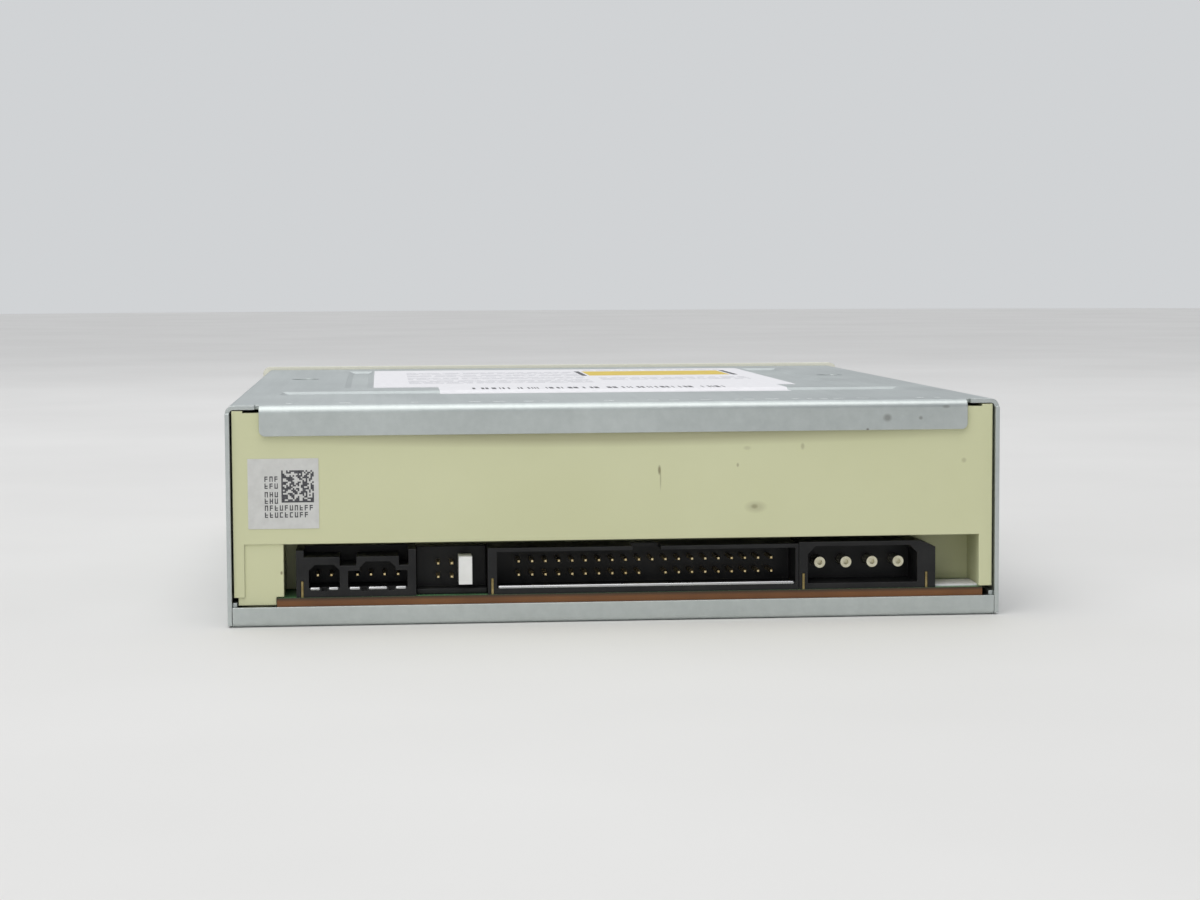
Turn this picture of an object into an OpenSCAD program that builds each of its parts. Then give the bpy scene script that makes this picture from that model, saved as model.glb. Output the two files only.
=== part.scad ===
// Half-height disc drive: steel covers, moulded frame, motor-driven tray, disc lift and rear connectors
// From the front, +X is to the right, +Y runs back to the connectors, +Z is up and the base stands at zero

/* [Body] */
// Width across the steel covers
body_w = 146; // [145:0.5:149]
// Height of the steel body
body_h = 41.3; // [41:0.1:43]
// Depth of the steel body behind the bezel
body_d = 172; // [171:1:195]
// Thickness of the steel covers
sheet = 0.8; // [0.6:0.1:1]
// Outside radius of the folds in the covers
fold_r = 1.5; // [1.2:0.1:2]
// Height of the rear flange of the top cover
rear_flange_h = 5.7; // [4:0.1:8]
// Setback of the rear flange from each side
rear_flange_inset = 6.25; // [4:0.25:10]
// Height of the rear lip of the bottom cover
rear_lip_h = 3.7; // [2.5:0.1:3.9]
// Height of the side flanges of the bottom cover
side_lip_h = 4.5; // [3:0.1:5]

/* [Stampings] */
// Depth of the stampings in the roof
emboss = 0.5; // [0.3:0.1:0.7]
// Width of the cross groove in the roof
groove_w = 12; // [6:1:16]
// Width of the printed label on the roof
label_w = 91; // [60:0.5:91]
// Length of the printed label on the roof
label_l = 90; // [50:1:91]
// Width of the label strip that dips into the groove
strip_w = 73; // [40:1:80]

/* [Front bezel] */
// Width of the bezel
bezel_w = 148.2; // [148:0.1:150]
// Height of the bezel
bezel_h = 42; // [42:0.1:44]
// Depth of the bezel
bezel_t = 5; // [4.5:0.1:7]
// Wall thickness of the bezel
bezel_wall = 2.2; // [1.8:0.1:2.4]
// Height of the buttons above the bezel
button_proud = 0.6; // [0.4:0.1:1]

/* [Frame] */
// Wall thickness of the moulded frame
frame_wall = 2; // [1.6:0.1:2.4]
// Height of the deck that carries the gears
deck_z = 15; // [14.8:0.1:15.2]
// Height of the ledges under the tray
ledge_z = 24; // [23.8:0.1:24.2]
// Top of the connector window
window_z = 15.4; // [15:0.1:17]

/* [Disc tray] */
// Width of the tray
tray_w = 131; // [129:0.5:131.4]
// Depth of the tray behind its door
tray_l = 164.7; // [158:0.1:165]
// Height of the floor of the large recess
disc_floor_z = 27; // [26.8:0.1:27.2]
// Radius of the large disc recess
disc_r = 60.6; // [60.3:0.1:61]
// Radius of the small disc recess
small_disc_r = 40.6; // [40.3:0.1:41]
// Height of the tray door
door_h = 15.6; // [14:0.1:15.8]

/* [Loading drive] */
// Tooth module of the gears
tooth_m = 0.8; // [0.7:0.1:0.8]
// Teeth of the small gear that drives the rack
rack_gear_teeth = 20; // [18:1:20]
// Teeth of the large gear under it
wheel_teeth = 34; // [32:1:34]
// Teeth of the pinion under the belt pulley
pinion_teeth = 14; // [13:1:15]
// Radius of the loading motor
motor_r = 12; // [10:0.5:12]
// Height of the loading motor
motor_h = 10.6; // [8:0.1:10.6]
// Thickness of the drive belt
belt_t = 1.2; // [0.8:0.1:1.3]

/* [Lift and traverse] */
// Angle that the lift frame drops by
lift_angle = 4.8; // [4.6:0.1:5]
// Travel of the cam slider
slider_travel = 16; // [14:1:16]
// Half the width of the lift frame
lift_half_w = 50; // [49:0.5:50]
// Thickness of the traverse plate
traverse_t = 1.2; // [1:0.1:1.3]
// Radius of the guide rods
rod_r = 1.5; // [1.2:0.1:1.6]
// Distance between the guide rods
rod_spread = 48; // [46:1:50]
// Radius of the turntable
turntable_r = 14.2; // [13:0.1:14.5]
// Radius of the spindle motor rotor
rotor_r = 12; // [10:0.5:12]
// Radius of the hub that centres the disc
hub_r = 7.4; // [7.3:0.05:7.45]

/* [Disc clamp] */
// Radius of the clamper disc
clamper_r = 17; // [15:0.5:18]
// Radius of the hole in the clamp bridge
bridge_hole_r = 13; // [12:0.5:14]
// Width of the clamp bridge
bridge_w = 42; // [36:1:44]

/* [Circuit board] */
// Thickness of the circuit board
board_t = 1.6; // [1.2:0.1:1.6]
// Underside of the circuit board
board_z = 3.7; // [3.2:0.1:3.8]

/* [Connectors] */
// Pitch of the signal pins
pin_pitch = 2.54; // [2.5:0.01:2.54]
// Width of a square signal pin
pin_w = 0.64; // [0.5:0.02:0.7]
// Pin columns of the data connector
data_columns = 20; // [17:1:20]
// Pitch of the power pins
power_pitch = 5.08; // [5:0.01:5.1]
// Radius of a power pin
power_pin_r = 1.05; // [0.9:0.05:1.1]
// Depth of the connector housings
housing_d = 10; // [9:0.5:10.5]

/* [Hidden] */
$fn = 48;

// Shared clearances and overruns
cut = 1;
gap = 0.1;
play = 0.3;
run_gap = 0.08;
clear = 0.4;

// Datum planes
half_w = body_w / 2;
overall_d = button_proud + bezel_t + body_d;
face_y = button_proud - overall_d / 2;
back_y = face_y + bezel_t;
rear_y = back_y + body_d;
roof_z = body_h - sheet;
frame_x = half_w - sheet - clear;
inner_x = frame_x - frame_wall;
frame_front = back_y + gap;
frame_rear = rear_y - sheet - gap;
frame_top = roof_z - 2 * gap;
board_top = board_z + board_t;
foot_z = board_top + 2 * gap;
disc_back = 70;
disc_y = back_y + disc_back;

// Mounting screws of the half-height standard, from the bezel and the base
mount_y1 = 47.4;
mount_pitch_y = 79.25;
mount_z1 = 9.93;
mount_pitch_z = 11.91;
mount_pitch_x = 139.7;
tap_r = 1.25;
side_collar_r = 2.2;
base_collar_r = 2;
collar_l = 1.2;
pocket_r = 2.8;
pocket_depth = 5.6;
mount_ys = [back_y + mount_y1, back_y + mount_y1 + mount_pitch_y];

// Top cover
cover_foot = 0.35;
roof_setback = 0.9;
relief_w = 0.8;
relief_l = 2.4;
groove_back = 46;
groove_half = 63.3;
slope = 1.2;
channel_l = 88;
channel_back = 113;
left_channel_w = 6;
left_channel_x = 49;
right_channel_w = 9;
right_channel_x = -51.5;
dimple_r = 3.2;
dimple_back = 114;
dimple_x = 61.6;

// Labels
label_t = 0.1;
label_x = 0.25;
label_back = 112;
strip_x = -4.5;
strip_end = 43;
code_label = 13.1;
code_label_inset = 2.8;
code_label_z = 18.3;

// Bottom cover and its screws
base_fold_r = 1.1;
base_gap = 0.1;
pan_r = 4.2;
pan_depth = 1.4;
cover_head_r = 2.7;
cover_head_h = 1.2;
head_share = 0.86;
cover_screw_r = 1.3;
cover_screw_l = 8;
front_screw_x = 60;
front_back = 25.4;
left_screw_x = -64.3;
left_back = 87;
right_screw_x = 67.4;
right_rear = 7;
sink_w = 96;
sink_l = 40;
sink_back = 64;

// Front bezel
bezel_corner = 1.6;
bezel_edge = 1.2;
door_gap = 0.4;
door_w = tray_w + 2 * play;
door_z = 19.9;
opening_half = door_w / 2 + door_gap;
opening_z0 = door_z - door_gap;
opening_z1 = door_z + door_h + door_gap;
collar_w = 1.5;
hook_t = 1.4;
hook_h = 6;
hook_l = 9.6;
hook_barb = 1.8;
hook_barb_l = 3;
hook_low_z = 6.2;
hook_high_z = 32.6;
hook_x = inner_x - clear - hook_t;
front_z = 8.5;
jack_x = -60;
jack_nose_r = 3;
wheel_x = -43;
light_x = 20;
light_r = 1.5;
release_x = 28;
release_r = 0.75;
eject_x = 57;
eject_w = 13.4;
eject_h = 4.4;
eject_gap = 0.3;

// Frame details
deck_t = 2;
deck_low = deck_z - deck_t;
deck_l = 31.2;
guide_t = 1.8;
ledge_in = 63;
ledge_t = 2;
ledge_front = 3.2;
ledge_l = 160.5;
side_guide_h = 3.6;
hold_in = 62.8;
hold_z = 30.3;
hold_t = 1.5;
hold_l = 10;
hold_front = 4.2;
hold_rear = 133;
shelf_t = 1.6;
shelf_d = 11.4;
bulkhead_t = 2;
end_block_w = 9.2;
end_block_d = 12;
end_block_step = 0.3;
end_foot_z = 4;
end_post_w = 2.5;
leg_w = 3.5;
leg_in = 0.8;
leg_out = frame_x - leg_in;
leg_l = 10;
leg_backs = [13, 66];
board_boss_r = 3.2;
board_boss_h = 6;
boss_top = board_top + board_boss_h;
bridge_ledge_in = 64;
cover_boss_r = 3.4;
cover_boss_z = 2.5;

// Loading drive, placed from the tray edge and the bezel
pitch_angle = 20;
addendum_share = 0.9;
dedendum_share = 1.25;
tooth_play = 0.26;
rack_inset = 8;
rack_depth = 3.5;
rack_z = 20.5;
rack_x = -tray_w / 2 + rack_inset;
rack_gear_r = rack_gear_teeth * tooth_m / 2;
wheel_r = wheel_teeth * tooth_m / 2;
pinion_r = pinion_teeth * tooth_m / 2;
gear_x = rack_x + rack_gear_r;
gear_front = 15.7;
gear_y = back_y + gear_front;
mesh_angle = 14.4;
pinion_x = gear_x + (wheel_r + pinion_r) * cos(mesh_angle);
pinion_y = gear_y + (wheel_r + pinion_r) * sin(mesh_angle);
washer_t = 0.3;
wheel_t = 2.4;
rack_gear_top = 23.4;
post_r = 1.5;
gear_web_t = 1.2;
pulley_r = 8.2;
pulley_rim = 0.8;
pulley_z = 18.4;
pulley_t = 3;
groove_h = 1.6;
motor_x = 2;
motor_back = 19;
motor_y = back_y + motor_back;
motor_pulley_r = 3;
motor_shaft_r = 1;
motor_boss_r = 3;
motor_boss_h = 1;
motor_screw_r = 1;
motor_screw_x = 8;
belt_gap = 0.06;
belt_step = 0.02;
belt_z = pulley_z + pulley_t / 2;

// Lift frame and cam slider, drawn raised, then let down
pivot_back = 149.2;
pivot_y = back_y + pivot_back;
pivot_z = 13;
pivot_r = 2;
pivot_l = 4.6;
pivot_post_t = 4.2;
pivot_post_h = 3.8;
pivot_mouth = 3.4;
lift_z = 12.5;
lift_base_t = 2.9;
lift_rail_w = 11;
lift_rim_t = 1.3;
lift_rim_top = 18;
lift_front_back = 37.2;
lift_y0 = back_y + lift_front_back;
lift_y1 = pivot_y + pivot_r + pivot_r;
lift_front_rail = 9;
lift_rear_rail = 8;
lift_corner_r = 4;
cam_pin_r = 1.5;
cam_pin_x = 24;
cam_pin_z = 15.2;
cam_gap = 0.3;
slider_t = 2;
guide_rear = back_y + deck_l + guide_t;
slider_y = guide_rear + play;
slider_z = 2;
slider_top = 18.4;
slider_x0 = -47;
slider_l = 78;
dwell = 2;
rack_l = 26;
rack_low = 15.4;
rack_start = -42;
rack_out = 2.7;
tooth_shares = [0.2, 0.4, 0.6, 0.8];
track_t = 0.8;
track_lip_h = 0.8;
hook_post_xs = [7, 34];
hook_post_w = 7;

// Traverse unit
damper_r = 4.2;
damper_neck_r = 3;
damper_hole = 1.7;
damper_x = 44;
damper_front = 53.2;
damper_pitch = 82;
damper_h = 5.2;
damper_z = lift_z + lift_base_t;
damper_head_h = 1.9;
damper_cap_r = 3.2;
damper_cap_h = 1;
damper_ys = [back_y + damper_front, back_y + damper_front + damper_pitch];
plate_z = damper_z + damper_head_h + gap;
plate_top = plate_z + traverse_t;
plate_half = 48;
plate_front = 48.2;
plate_l = 100;
plate_corner = 3;
plate_lip = 2;
sled_open_x0 = -30.5;
sled_open_x1 = 27;
sled_open_y = 12.7;
sled_open_l = 57;
screw_open_x1 = 36.6;
screw_open_y = -20.3;
screw_open_l = 93.7;
spin_t = 1;
spindle_r = 13;
ear_r = 3;
ear_out = 15.5;
bearing_r = 3.4;
bearing_h = 5.6;
shaft_r = 1.25;
rotor_wall = 1.1;
rotor_h = 6.4;
rotor_gap = 0.5;
table_z = 29.6;
table_t = 1.4;
ring_in_r = 10.5;
ring_t = 0.6;
hub_h = 2.3;
hub_slope = 1.8;
rod_x = rod_spread / 2;
rod_z = 20.2;
rod_y0 = 5.7;
rod_l = 71;
holder_w = 7;
holder_l = 5;
holder_h = 3.9;
holder_inset = 0.6;
holder_ear_w = 5.5;
holder_ear_t = 1.2;
lead_x = 31;
lead_z = 19.4;
lead_r = 1.5;
lead_pin_r = 1;
sled_motor_r = 4;
sled_motor_l = 20;
sled_back = -18.8;
bracket_t = 0.8;
bracket_l = 71.8;
bracket_w = 8.4;
bracket_h = 6;
bracket_tab_w = 5;
bracket_tab_l = 6;
bracket_tab_ys = [20, 50];

// Pickup, drawn at its innermost place
pickup_in = 23;
sled_y = disc_y + pickup_in;
sled_half_l = 9;
sled_half_w = 20;
pickup_z = 15.2;
pickup_top = 22.6;
pickup_scoop_r = 13.4;
bushing_r = 3.3;
bushing_pad = 3.6;
fork_out = 3;
fork_t = 4.6;
cap_half_w = 12;
cap_half_l = 7.6;
cap_height = 3;
cap_wall = 0.6;
holder_half_w = 5.4;
holder_half_l = 4.2;
lens_z = 2.9;
lens_rim_r = 3.3;
lens_rim_h = 0.9;
lens_r = 2.4;
lens_dome = 0.4;
follower_w = 7;
follower_l = 6;
follower_h = 4.2;

// Disc tray
tray_setback = 3.5;
tray_front = face_y + tray_setback;
tray_rear = tray_front + tray_l;
rim_z = 29.8;
skin = 1.6;
tray_corner = 4;
tray_bump_z = 23.9;
slot_half = 20;
slot_rear = 67.2;
slot_corner = 6;
tray_door_gap = 0.1;
passage_half = 26;
passage_z = 26.4;
finger_r = 11;
tab_w = 5;
tab_l = 1.6;
tab_t = 0.8;
door_t = 2.4;
door_edge = 0.6;
door_rim = 1.4;

// Disc clamp
bridge_z = 32.4;
bridge_t = 0.8;
bridge_play = 0.5;
bridge_half = inner_x - bridge_play;
lip_h = 2;
lip_x = 58;
bridge_screw_in = 2.3;
bridge_screw_x = bridge_half - bridge_screw_in;
bridge_share = 0.72;
bridge_head_r = 2;
bridge_head_h = 1.1;
bridge_screw_r = 0.9;
bridge_screw_l = 1.6;
clamper_z = 30.4;
clamper_t = 1.4;
clamper_gap = 0.1;
cap_z = bridge_z + bridge_t + clamper_gap;
neck_play = 1;
clamper_lip = 2;
clamper_cap_t = 1.2;
clamp_pocket_play = 2.1;
clamp_pocket_h = 2.3;
clamper_plate_r = 8;
clamper_plate_t = 1;

// Circuit board and the parts on it
board_left = 1.8;
board_right = 7.9;
board_front = 93.2;
board_screw_r = 1.3;
board_hole_r = 1.6;
board_head_r = 2.5;
board_head_h = 1.2;
board_screw_l = 4.5;
board_screw_x0 = -65.5;
board_screw_x1 = 60.2;
screw_front = 6;
screw_pitch = 50;
board_ys = [back_y + board_front + screw_front,
    back_y + board_front + screw_front + screw_pitch];
chip_gap = 0.05;
chip_t = 1.5;
chip_l = 20;
chip_s = 11;
lead_t = 0.2;
lead_w = 0.5;
lead_out = 1.2;
lead_pitch = 1.6;
cap_r = 2.6;
cap_h = 5.6;
cap_xs = [-60, -53, 55];

// Rear connectors: a row that starts at the end block, then the middles of the plugs in it
row_in = 11.5;
audio_w = 22.3;
digital_in = 5.2;
analogue_in = 15.15;
jumper_in = 29.01;
data_in = 65.83;
power_in = 107.15;
audio_x1 = frame_x - row_in;
audio_x0 = audio_x1 - audio_w;
digital_x = audio_x1 - digital_in;
analogue_x = audio_x1 - analogue_in;
jumper_x = audio_x1 - jumper_in;
data_x = audio_x1 - data_in;
power_x = audio_x1 - power_in;
mouth_in = 1.2;
mouth_y = rear_y - mouth_in;
pin_back = mouth_y - housing_d - play;
row_z = 8.65;
housing_floor = 1.1;
data_end_room = 4.25;
data_wall = 1.7;
data_thin_wall = 0.6;
data_top = 14;
data_roof = 0.7;
data_pin_in = 2.5;
data_key_w = 5.45;
data_key_l = 6;
data_blank = 10;
power_pins_n = 4;
power_end_room = 2.95;
power_wall_in = 1.65;
power_wall_out = 3.5;
power_top = 14.3;
power_roof = 0.8;
power_pin_z = 9.97;
power_pin_in = 3.6;
power_chamfer = 1.5;
power_floor = 6.3925;
power_corner_w = 3;
power_corner_h = 1.2;
power_tip_r = 0.5;
power_tip_depth = 1.2;
audio_top = 14.1;
audio_roof = 12.8;
audio_low = 11.15;
audio_post = 1.4;
audio_floor = 7;
audio_pin_z = 9.1;
audio_pin_in = 3;
digital_w = 5.75;
digital_top = 11.4;
analogue_w = 11.1;
analogue_top = 10.2;
analogue_key_w = 6.7;
analogue_key_top = 11.9;
audio_finger_w = 1.1;
audio_chamfer = 1.1;
housing_t = 1.6;
jumper_n = 3;
jumper_base_t = 4.2;
jumper_pin_in = 1.2;
jumper_cap_w = 2.5;
jumper_cap_h = 5.2;
jumper_cap_l = 5.6;
lock_t = 0.4;
lock_h = 2.4;
lock_d = 3;
lock_z = 5.9;
lock_in = 1.1;
data_half = (data_columns - 1) * pin_pitch / 2 + data_end_room;
power_half = (power_pins_n - 1) * power_pitch / 2 + power_end_room;
lock_xs = [
  audio_x1 - lock_in, data_x + data_half + data_wall / 2,
  power_x + power_half + power_wall_in / 2, power_x - power_half - power_wall_out / 2
];

// Front board and its controls
panel_z = 3;
panel_t = 1.2;
panel_top = panel_z + panel_t;
panel_x = 66;
panel_narrow = 5.6;
panel_wide = 19;
panel_left = -14;
panel_right = 45;
panel_boss_r = 2.2;
panel_xs = [-24, 62];
panel_back = 15;
jack_w = 9;
jack_l = 13;
jack_h = 7.8;
jack_bore_r = 1.8;
jack_bore_l = 14;
knob_r = 10.6;
knob_t = 2.6;
knob_z = 7.9;
knob_proud = 0.4;
wheel_ridges = 44;
ridge_depth = 0.35;
pot_w = 10;
pot_h = 3.4;
pot_shaft_r = 1.6;
slot_room = 0.6;
wheel_slot_half = 7.6;
light_body_w = 4;
light_body_h = 5.8;
light_body_l = 3.4;
switch_w = 6;
switch_l = 4;
switch_nub_r = 1.2;
switch_nub_l = 0.8;
stem_r = 1.4;
eject_travel = 0.5;
eject_flange = 0.8;
eject_flange_t = 0.8;

// Colours as the photo shows them
steel = [0.66, 0.70, 0.73];
bright = [0.78, 0.80, 0.82];
cream = [0.86, 0.86, 0.70];
ivory = [0.90, 0.88, 0.76];
ink_black = [0.07, 0.07, 0.075];
gold = [0.80, 0.66, 0.36];
board_brown = [0.52, 0.33, 0.18];
board_green = [0.12, 0.36, 0.22];
paper = [0.90, 0.90, 0.90];
rubber_black = [0.10, 0.10, 0.10];
gear_white = [0.88, 0.88, 0.84];
glass_blue = [0.55, 0.65, 0.80];

// Moves what follows
module at(x, y, z = 0) {
  translate([x, y, z]) children();
}

// A block between two limits on each axis
module block(x0, x1, y0, y1, z0, z1) {
  at(x0, y0, z0) cube([x1 - x0, y1 - y0, z1 - z0]);
}

// A block that is centred on the middle plane
module span(half, y0, y1, z0, z1) {
  block(-half, half, y0, y1, z0, z1);
}

// A block of one width about a place in X
module bar(x, w, y0, y1, z0, z1) {
  block(x - w / 2, x + w / 2, y0, y1, z0, z1);
}

// The same shape on both sides of the middle plane
module sides() {
  children();
  mirror([1, 0, 0]) children();
}

// An outline in X and Z carried along Y
module along_y(y0, y1) {
  at(0, y1) rotate([90, 0, 0]) linear_extrude(y1 - y0) children();
}

// An outline in Y and Z carried along X
module along_x(x0, x1) {
  at(x0, 0) rotate([90, 0, 90]) linear_extrude(x1 - x0) children();
}

// An outline in X and Y carried up Z
module along_z(z0, z1) {
  at(0, 0, z0) linear_extrude(z1 - z0) children();
}

// Round bars along each axis
module bar_x(r, x0, x1, y, z) {
  at(x0, y, z) rotate([0, 90, 0]) disc(r, x1 - x0);
}
module bar_y(r, y0, y1, x, z) {
  at(x, y1, z) rotate([90, 0, 0]) disc(r, y1 - y0);
}
module bar_z(r, z0, z1, x, y) {
  at(x, y, z0) disc(r, z1 - z0);
}

// A round disc, and a turn about Z
module disc(r, h) {
  cylinder(h = h, r = r);
}
module turn(a) {
  rotate([0, 0, a]) children();
}

// A round hole cut past both of its ends
module hole_z(r, z0, z1, x = 0, y = 0) {
  at(x, y, z0 - cut) disc(r, z1 - z0 + 2 * cut);
}

// A rectangle about the origin with four round corners
module round_rect(w, h, r) {
  square([w - 2 * r, h], center = true);
  square([w, h - 2 * r], center = true);
  for (sx = [-1, 1], sy = [-1, 1]) at(sx * (w / 2 - r), sy * (h / 2 - r)) circle(r);
}

// A rectangle between limits with four round corners
module round_span(x0, x1, y0, y1, r) {
  at((x0 + x1) / 2, (y0 + y1) / 2) round_rect(x1 - x0, y1 - y0, r);
}

// A section of folded sheet with round upper corners
module hood(w, foot, top, r) {
  at(-w / 2, foot) square([w, top - foot - r]);
  at(r - w / 2, foot) square([w - 2 * r, top - foot]);
  for (s = [-1, 1]) at(s * (w / 2 - r), top - r) circle(r);
}

// An L of sheet with its outer corner at the origin
module fold(leg_y, leg_z, r, t) {
  difference() {
    corner_plate(leg_y, leg_z, r);
    at(-t, -t) corner_plate(leg_y, leg_z, r - t);
  }
}
module corner_plate(leg_y, leg_z, r) {
  at(-leg_y, -leg_z) square([leg_y - r, leg_z]);
  at(-leg_y, -leg_z) square([leg_y, leg_z - r]);
  at(-r, -r) circle(r);
}

// A straight slot between two points in the plane
module slot_line(x0, z0, x1, z1, r) {
  len = norm([x1 - x0, z1 - z0]);
  nx = -(z1 - z0) / len * r;
  nz = (x1 - x0) / len * r;
  polygon([[x0 + nx, z0 + nz], [x1 + nx, z1 + nz], [x1 - nx, z1 - nz], [x0 - nx, z0 - nz]]);
  at(x0, z0) circle(r);
  at(x1, z1) circle(r);
}

// A panel with sloping sides pressed down from a level
module pressing(x0, x1, y0, y1, top, depth) {
  intersection() {
    along_y(y0 - slope, y1 + slope) polygon([
      [x0 - slope, top + cut], [x0 - slope, top], [x0, top - depth],
      [x1, top - depth], [x1 + slope, top], [x1 + slope, top + cut]
    ]);
    along_x(x0 - slope, x1 + slope) polygon([
      [y0 - slope, top + cut], [y0 - slope, top], [y0, top - depth],
      [y1, top - depth], [y1 + slope, top], [y1 + slope, top + cut]
    ]);
  }
}

// Stampings of the roof
module roof_stampings(top, depth, spread) {
  pressing(-groove_half - spread, groove_half + spread, rear_y - groove_back - groove_w / 2 - spread,
    rear_y - groove_back + groove_w / 2 + spread, top, depth);
  for (c = [[left_channel_x, left_channel_w], [right_channel_x, right_channel_w]])
    pressing(c[0] - c[1] / 2 + slope - spread, c[0] + c[1] / 2 - slope + spread,
      rear_y - channel_back - channel_l / 2 - spread, rear_y - channel_back + channel_l / 2 + spread,
          top, depth);
  for (s = [-1, 1]) bar_z(dimple_r + spread, top - depth, top + cut, s * dimple_x, rear_y - dimple_back);
}

// Places of the four side screw holes
module side_mounts() {
  for (y = mount_ys, z = [mount_z1, mount_z1 + mount_pitch_z]) at(0, y, z) children();
}

// Places of the four base screw holes
module base_mounts() {
  for (y = mount_ys, s = [-1, 1]) at(s * mount_pitch_x / 2, y) children();
}

// Folded steel cover: roof, sides with tapped holes, rear flange
module top_cover() color(steel) {
  flange_half = half_w - rear_flange_inset;
  difference() {
    union() {
      difference() {
        along_y(frame_front, rear_y - roof_setback) hood(body_w, cover_foot, body_h, fold_r);
        along_y(frame_front - cut, rear_y) hood(body_w - 2 * sheet, cover_foot - cut, roof_z,
            fold_r - sheet);
        span(flange_half, rear_y - fold_r, rear_y + cut, roof_z - cut, body_h + cut);
      }
      sides() block(half_w - sheet, half_w, rear_y - fold_r, rear_y - gap, cover_foot, body_h - fold_r);
      intersection() {
        along_x(-flange_half, flange_half)
          at(rear_y, body_h) fold(fold_r + sheet, rear_flange_h, fold_r, sheet);
        along_y(rear_y - fold_r - sheet - cut, rear_y + cut)
          mirror([0, 1]) hood(2 * flange_half, -body_h - cut, rear_flange_h - body_h, base_fold_r);
      }
      intersection() {
        roof_stampings(roof_z + emboss, emboss + emboss, sheet / 2);
        span(half_w, frame_front, rear_y, roof_z - emboss, body_h);
      }
      sides() side_mounts() bar_x(side_collar_r, half_w - sheet - collar_l, half_w - sheet / 2, 0, 0);
    }
    roof_stampings(body_h, emboss, 0);
    sides() side_mounts() bar_x(tap_r, half_w - sheet - collar_l - cut, half_w + cut, 0, 0);
    sides() block(flange_half, flange_half + relief_w, rear_y - relief_l, rear_y + cut,
        roof_z - cut, body_h + cut);
  }
}

// Screw places along the bottom cover
module cover_screws_at() {
  for (s = [-1, 1]) at(s * front_screw_x, back_y + front_back) children();
  at(left_screw_x, back_y + left_back) children();
  at(right_screw_x, rear_y - right_rear) children();
}

// Shallow steel pan that the drive stands on
module bottom_cover() color(steel) {
  base_x = half_w - sheet - base_gap;
  difference() {
    union() {
      difference() {
        along_y(frame_front, rear_y - base_fold_r) mirror([0, 1]) hood(2 * base_x, -side_lip_h, 0,
            base_fold_r);
        along_y(frame_front - cut, rear_y)
          mirror([0, 1]) hood(2 * (base_x - sheet), -side_lip_h - cut, -sheet, base_fold_r - sheet);
      }
      along_x(-base_x, base_x) at(rear_y, 0) mirror([0, 1]) fold(base_fold_r + sheet, rear_lip_h,
          base_fold_r, sheet);
      cover_screws_at() disc(pan_r, pan_depth + sheet);
      base_mounts() disc(base_collar_r, sheet + collar_l);
      block(-sink_w / 2 - sheet, sink_w / 2 + sheet,
          back_y + sink_back - sink_l / 2 - sheet,
        back_y + sink_back + sink_l / 2 + sheet, 0, sheet + emboss);
    }
    cover_screws_at() at(0, 0, -cut) disc(pan_r - sheet, pan_depth + cut);
    cover_screws_at() at(0, 0, -cut) disc(cover_screw_r + gap, pan_depth + sheet + 2 * cut);
    base_mounts() at(0, 0, -cut) disc(tap_r, sheet + collar_l + 2 * cut);
    along_z(-cut, emboss) round_span(-sink_w / 2, sink_w / 2,
        back_y + sink_back - sink_l / 2, back_y + sink_back + sink_l / 2, pan_r);
  }
}

// Pan head screw that points up, with a cross recess
module screw_up(head_r, head_h, shank_r, length) {
  recess = head_r / 2;
  difference() {
    union() {
      cylinder(h = head_h, r1 = head_r * head_share, r2 = head_r);
      at(0, 0, head_h) disc(shank_r, length);
    }
    for (a = [0, 90]) turn(a) at(-recess, -recess / 4, -cut)
        cube([2 * recess, recess / 2, cut + head_h / 2]);
  }
}

// Screws of the bottom cover
module cover_screws() color(bright) cover_screws_at()
  at(0, 0, pan_depth - cover_head_h) screw_up(cover_head_r, cover_head_h, cover_screw_r, cover_screw_l);

// Places of the four circuit board screws
module board_screws_at() {
  for (x = [board_screw_x0, board_screw_x1], y = board_ys) at(x, y) children();
}

// Side wall of the frame with the rails of the tray, on the +X side
module frame_side() {
  block(inner_x, frame_x, frame_front, frame_rear, foot_z, frame_top);
  ledge_y0 = back_y + ledge_front;
  block(ledge_in, inner_x, ledge_y0, ledge_y0 + ledge_l, ledge_z - ledge_t, ledge_z);
  block(tray_w / 2 + clear, inner_x, ledge_y0, ledge_y0 + ledge_l, ledge_z - ledge_t,
      ledge_z + side_guide_h);
  for (y = [back_y + hold_front, back_y + hold_rear]) block(hold_in, inner_x, y, y + hold_l, hold_z,
      hold_z + hold_t);
  block(bridge_ledge_in, inner_x, disc_y - bridge_w / 2, disc_y + bridge_w / 2, hold_z, bridge_z);
  for (y = leg_backs) block(leg_out - leg_w, leg_out, back_y + y, back_y + y + leg_l, sheet + gap,
      foot_z + frame_wall);
  pivot_arm();
}

// Post of the lift pivot, with a mouth that the pin snaps into
module pivot_arm() {
  x0 = lift_half_w + 2 * play;
  bulkhead_y = frame_rear - frame_wall - shelf_d;
  difference() {
    block(x0, x0 + pivot_post_t, pivot_y - pivot_post_h, bulkhead_y + cut, pivot_z - pivot_post_h,
        pivot_z + pivot_post_h);
    bar_x(pivot_r + run_gap, x0 - cut, x0 + pivot_post_t + cut, pivot_y, pivot_z);
    block(x0 - cut, x0 + pivot_post_t + cut, pivot_y - pivot_mouth / 2, pivot_y + pivot_mouth / 2,
        pivot_z, pivot_z + pivot_post_h + cut);
  }
}

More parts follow.
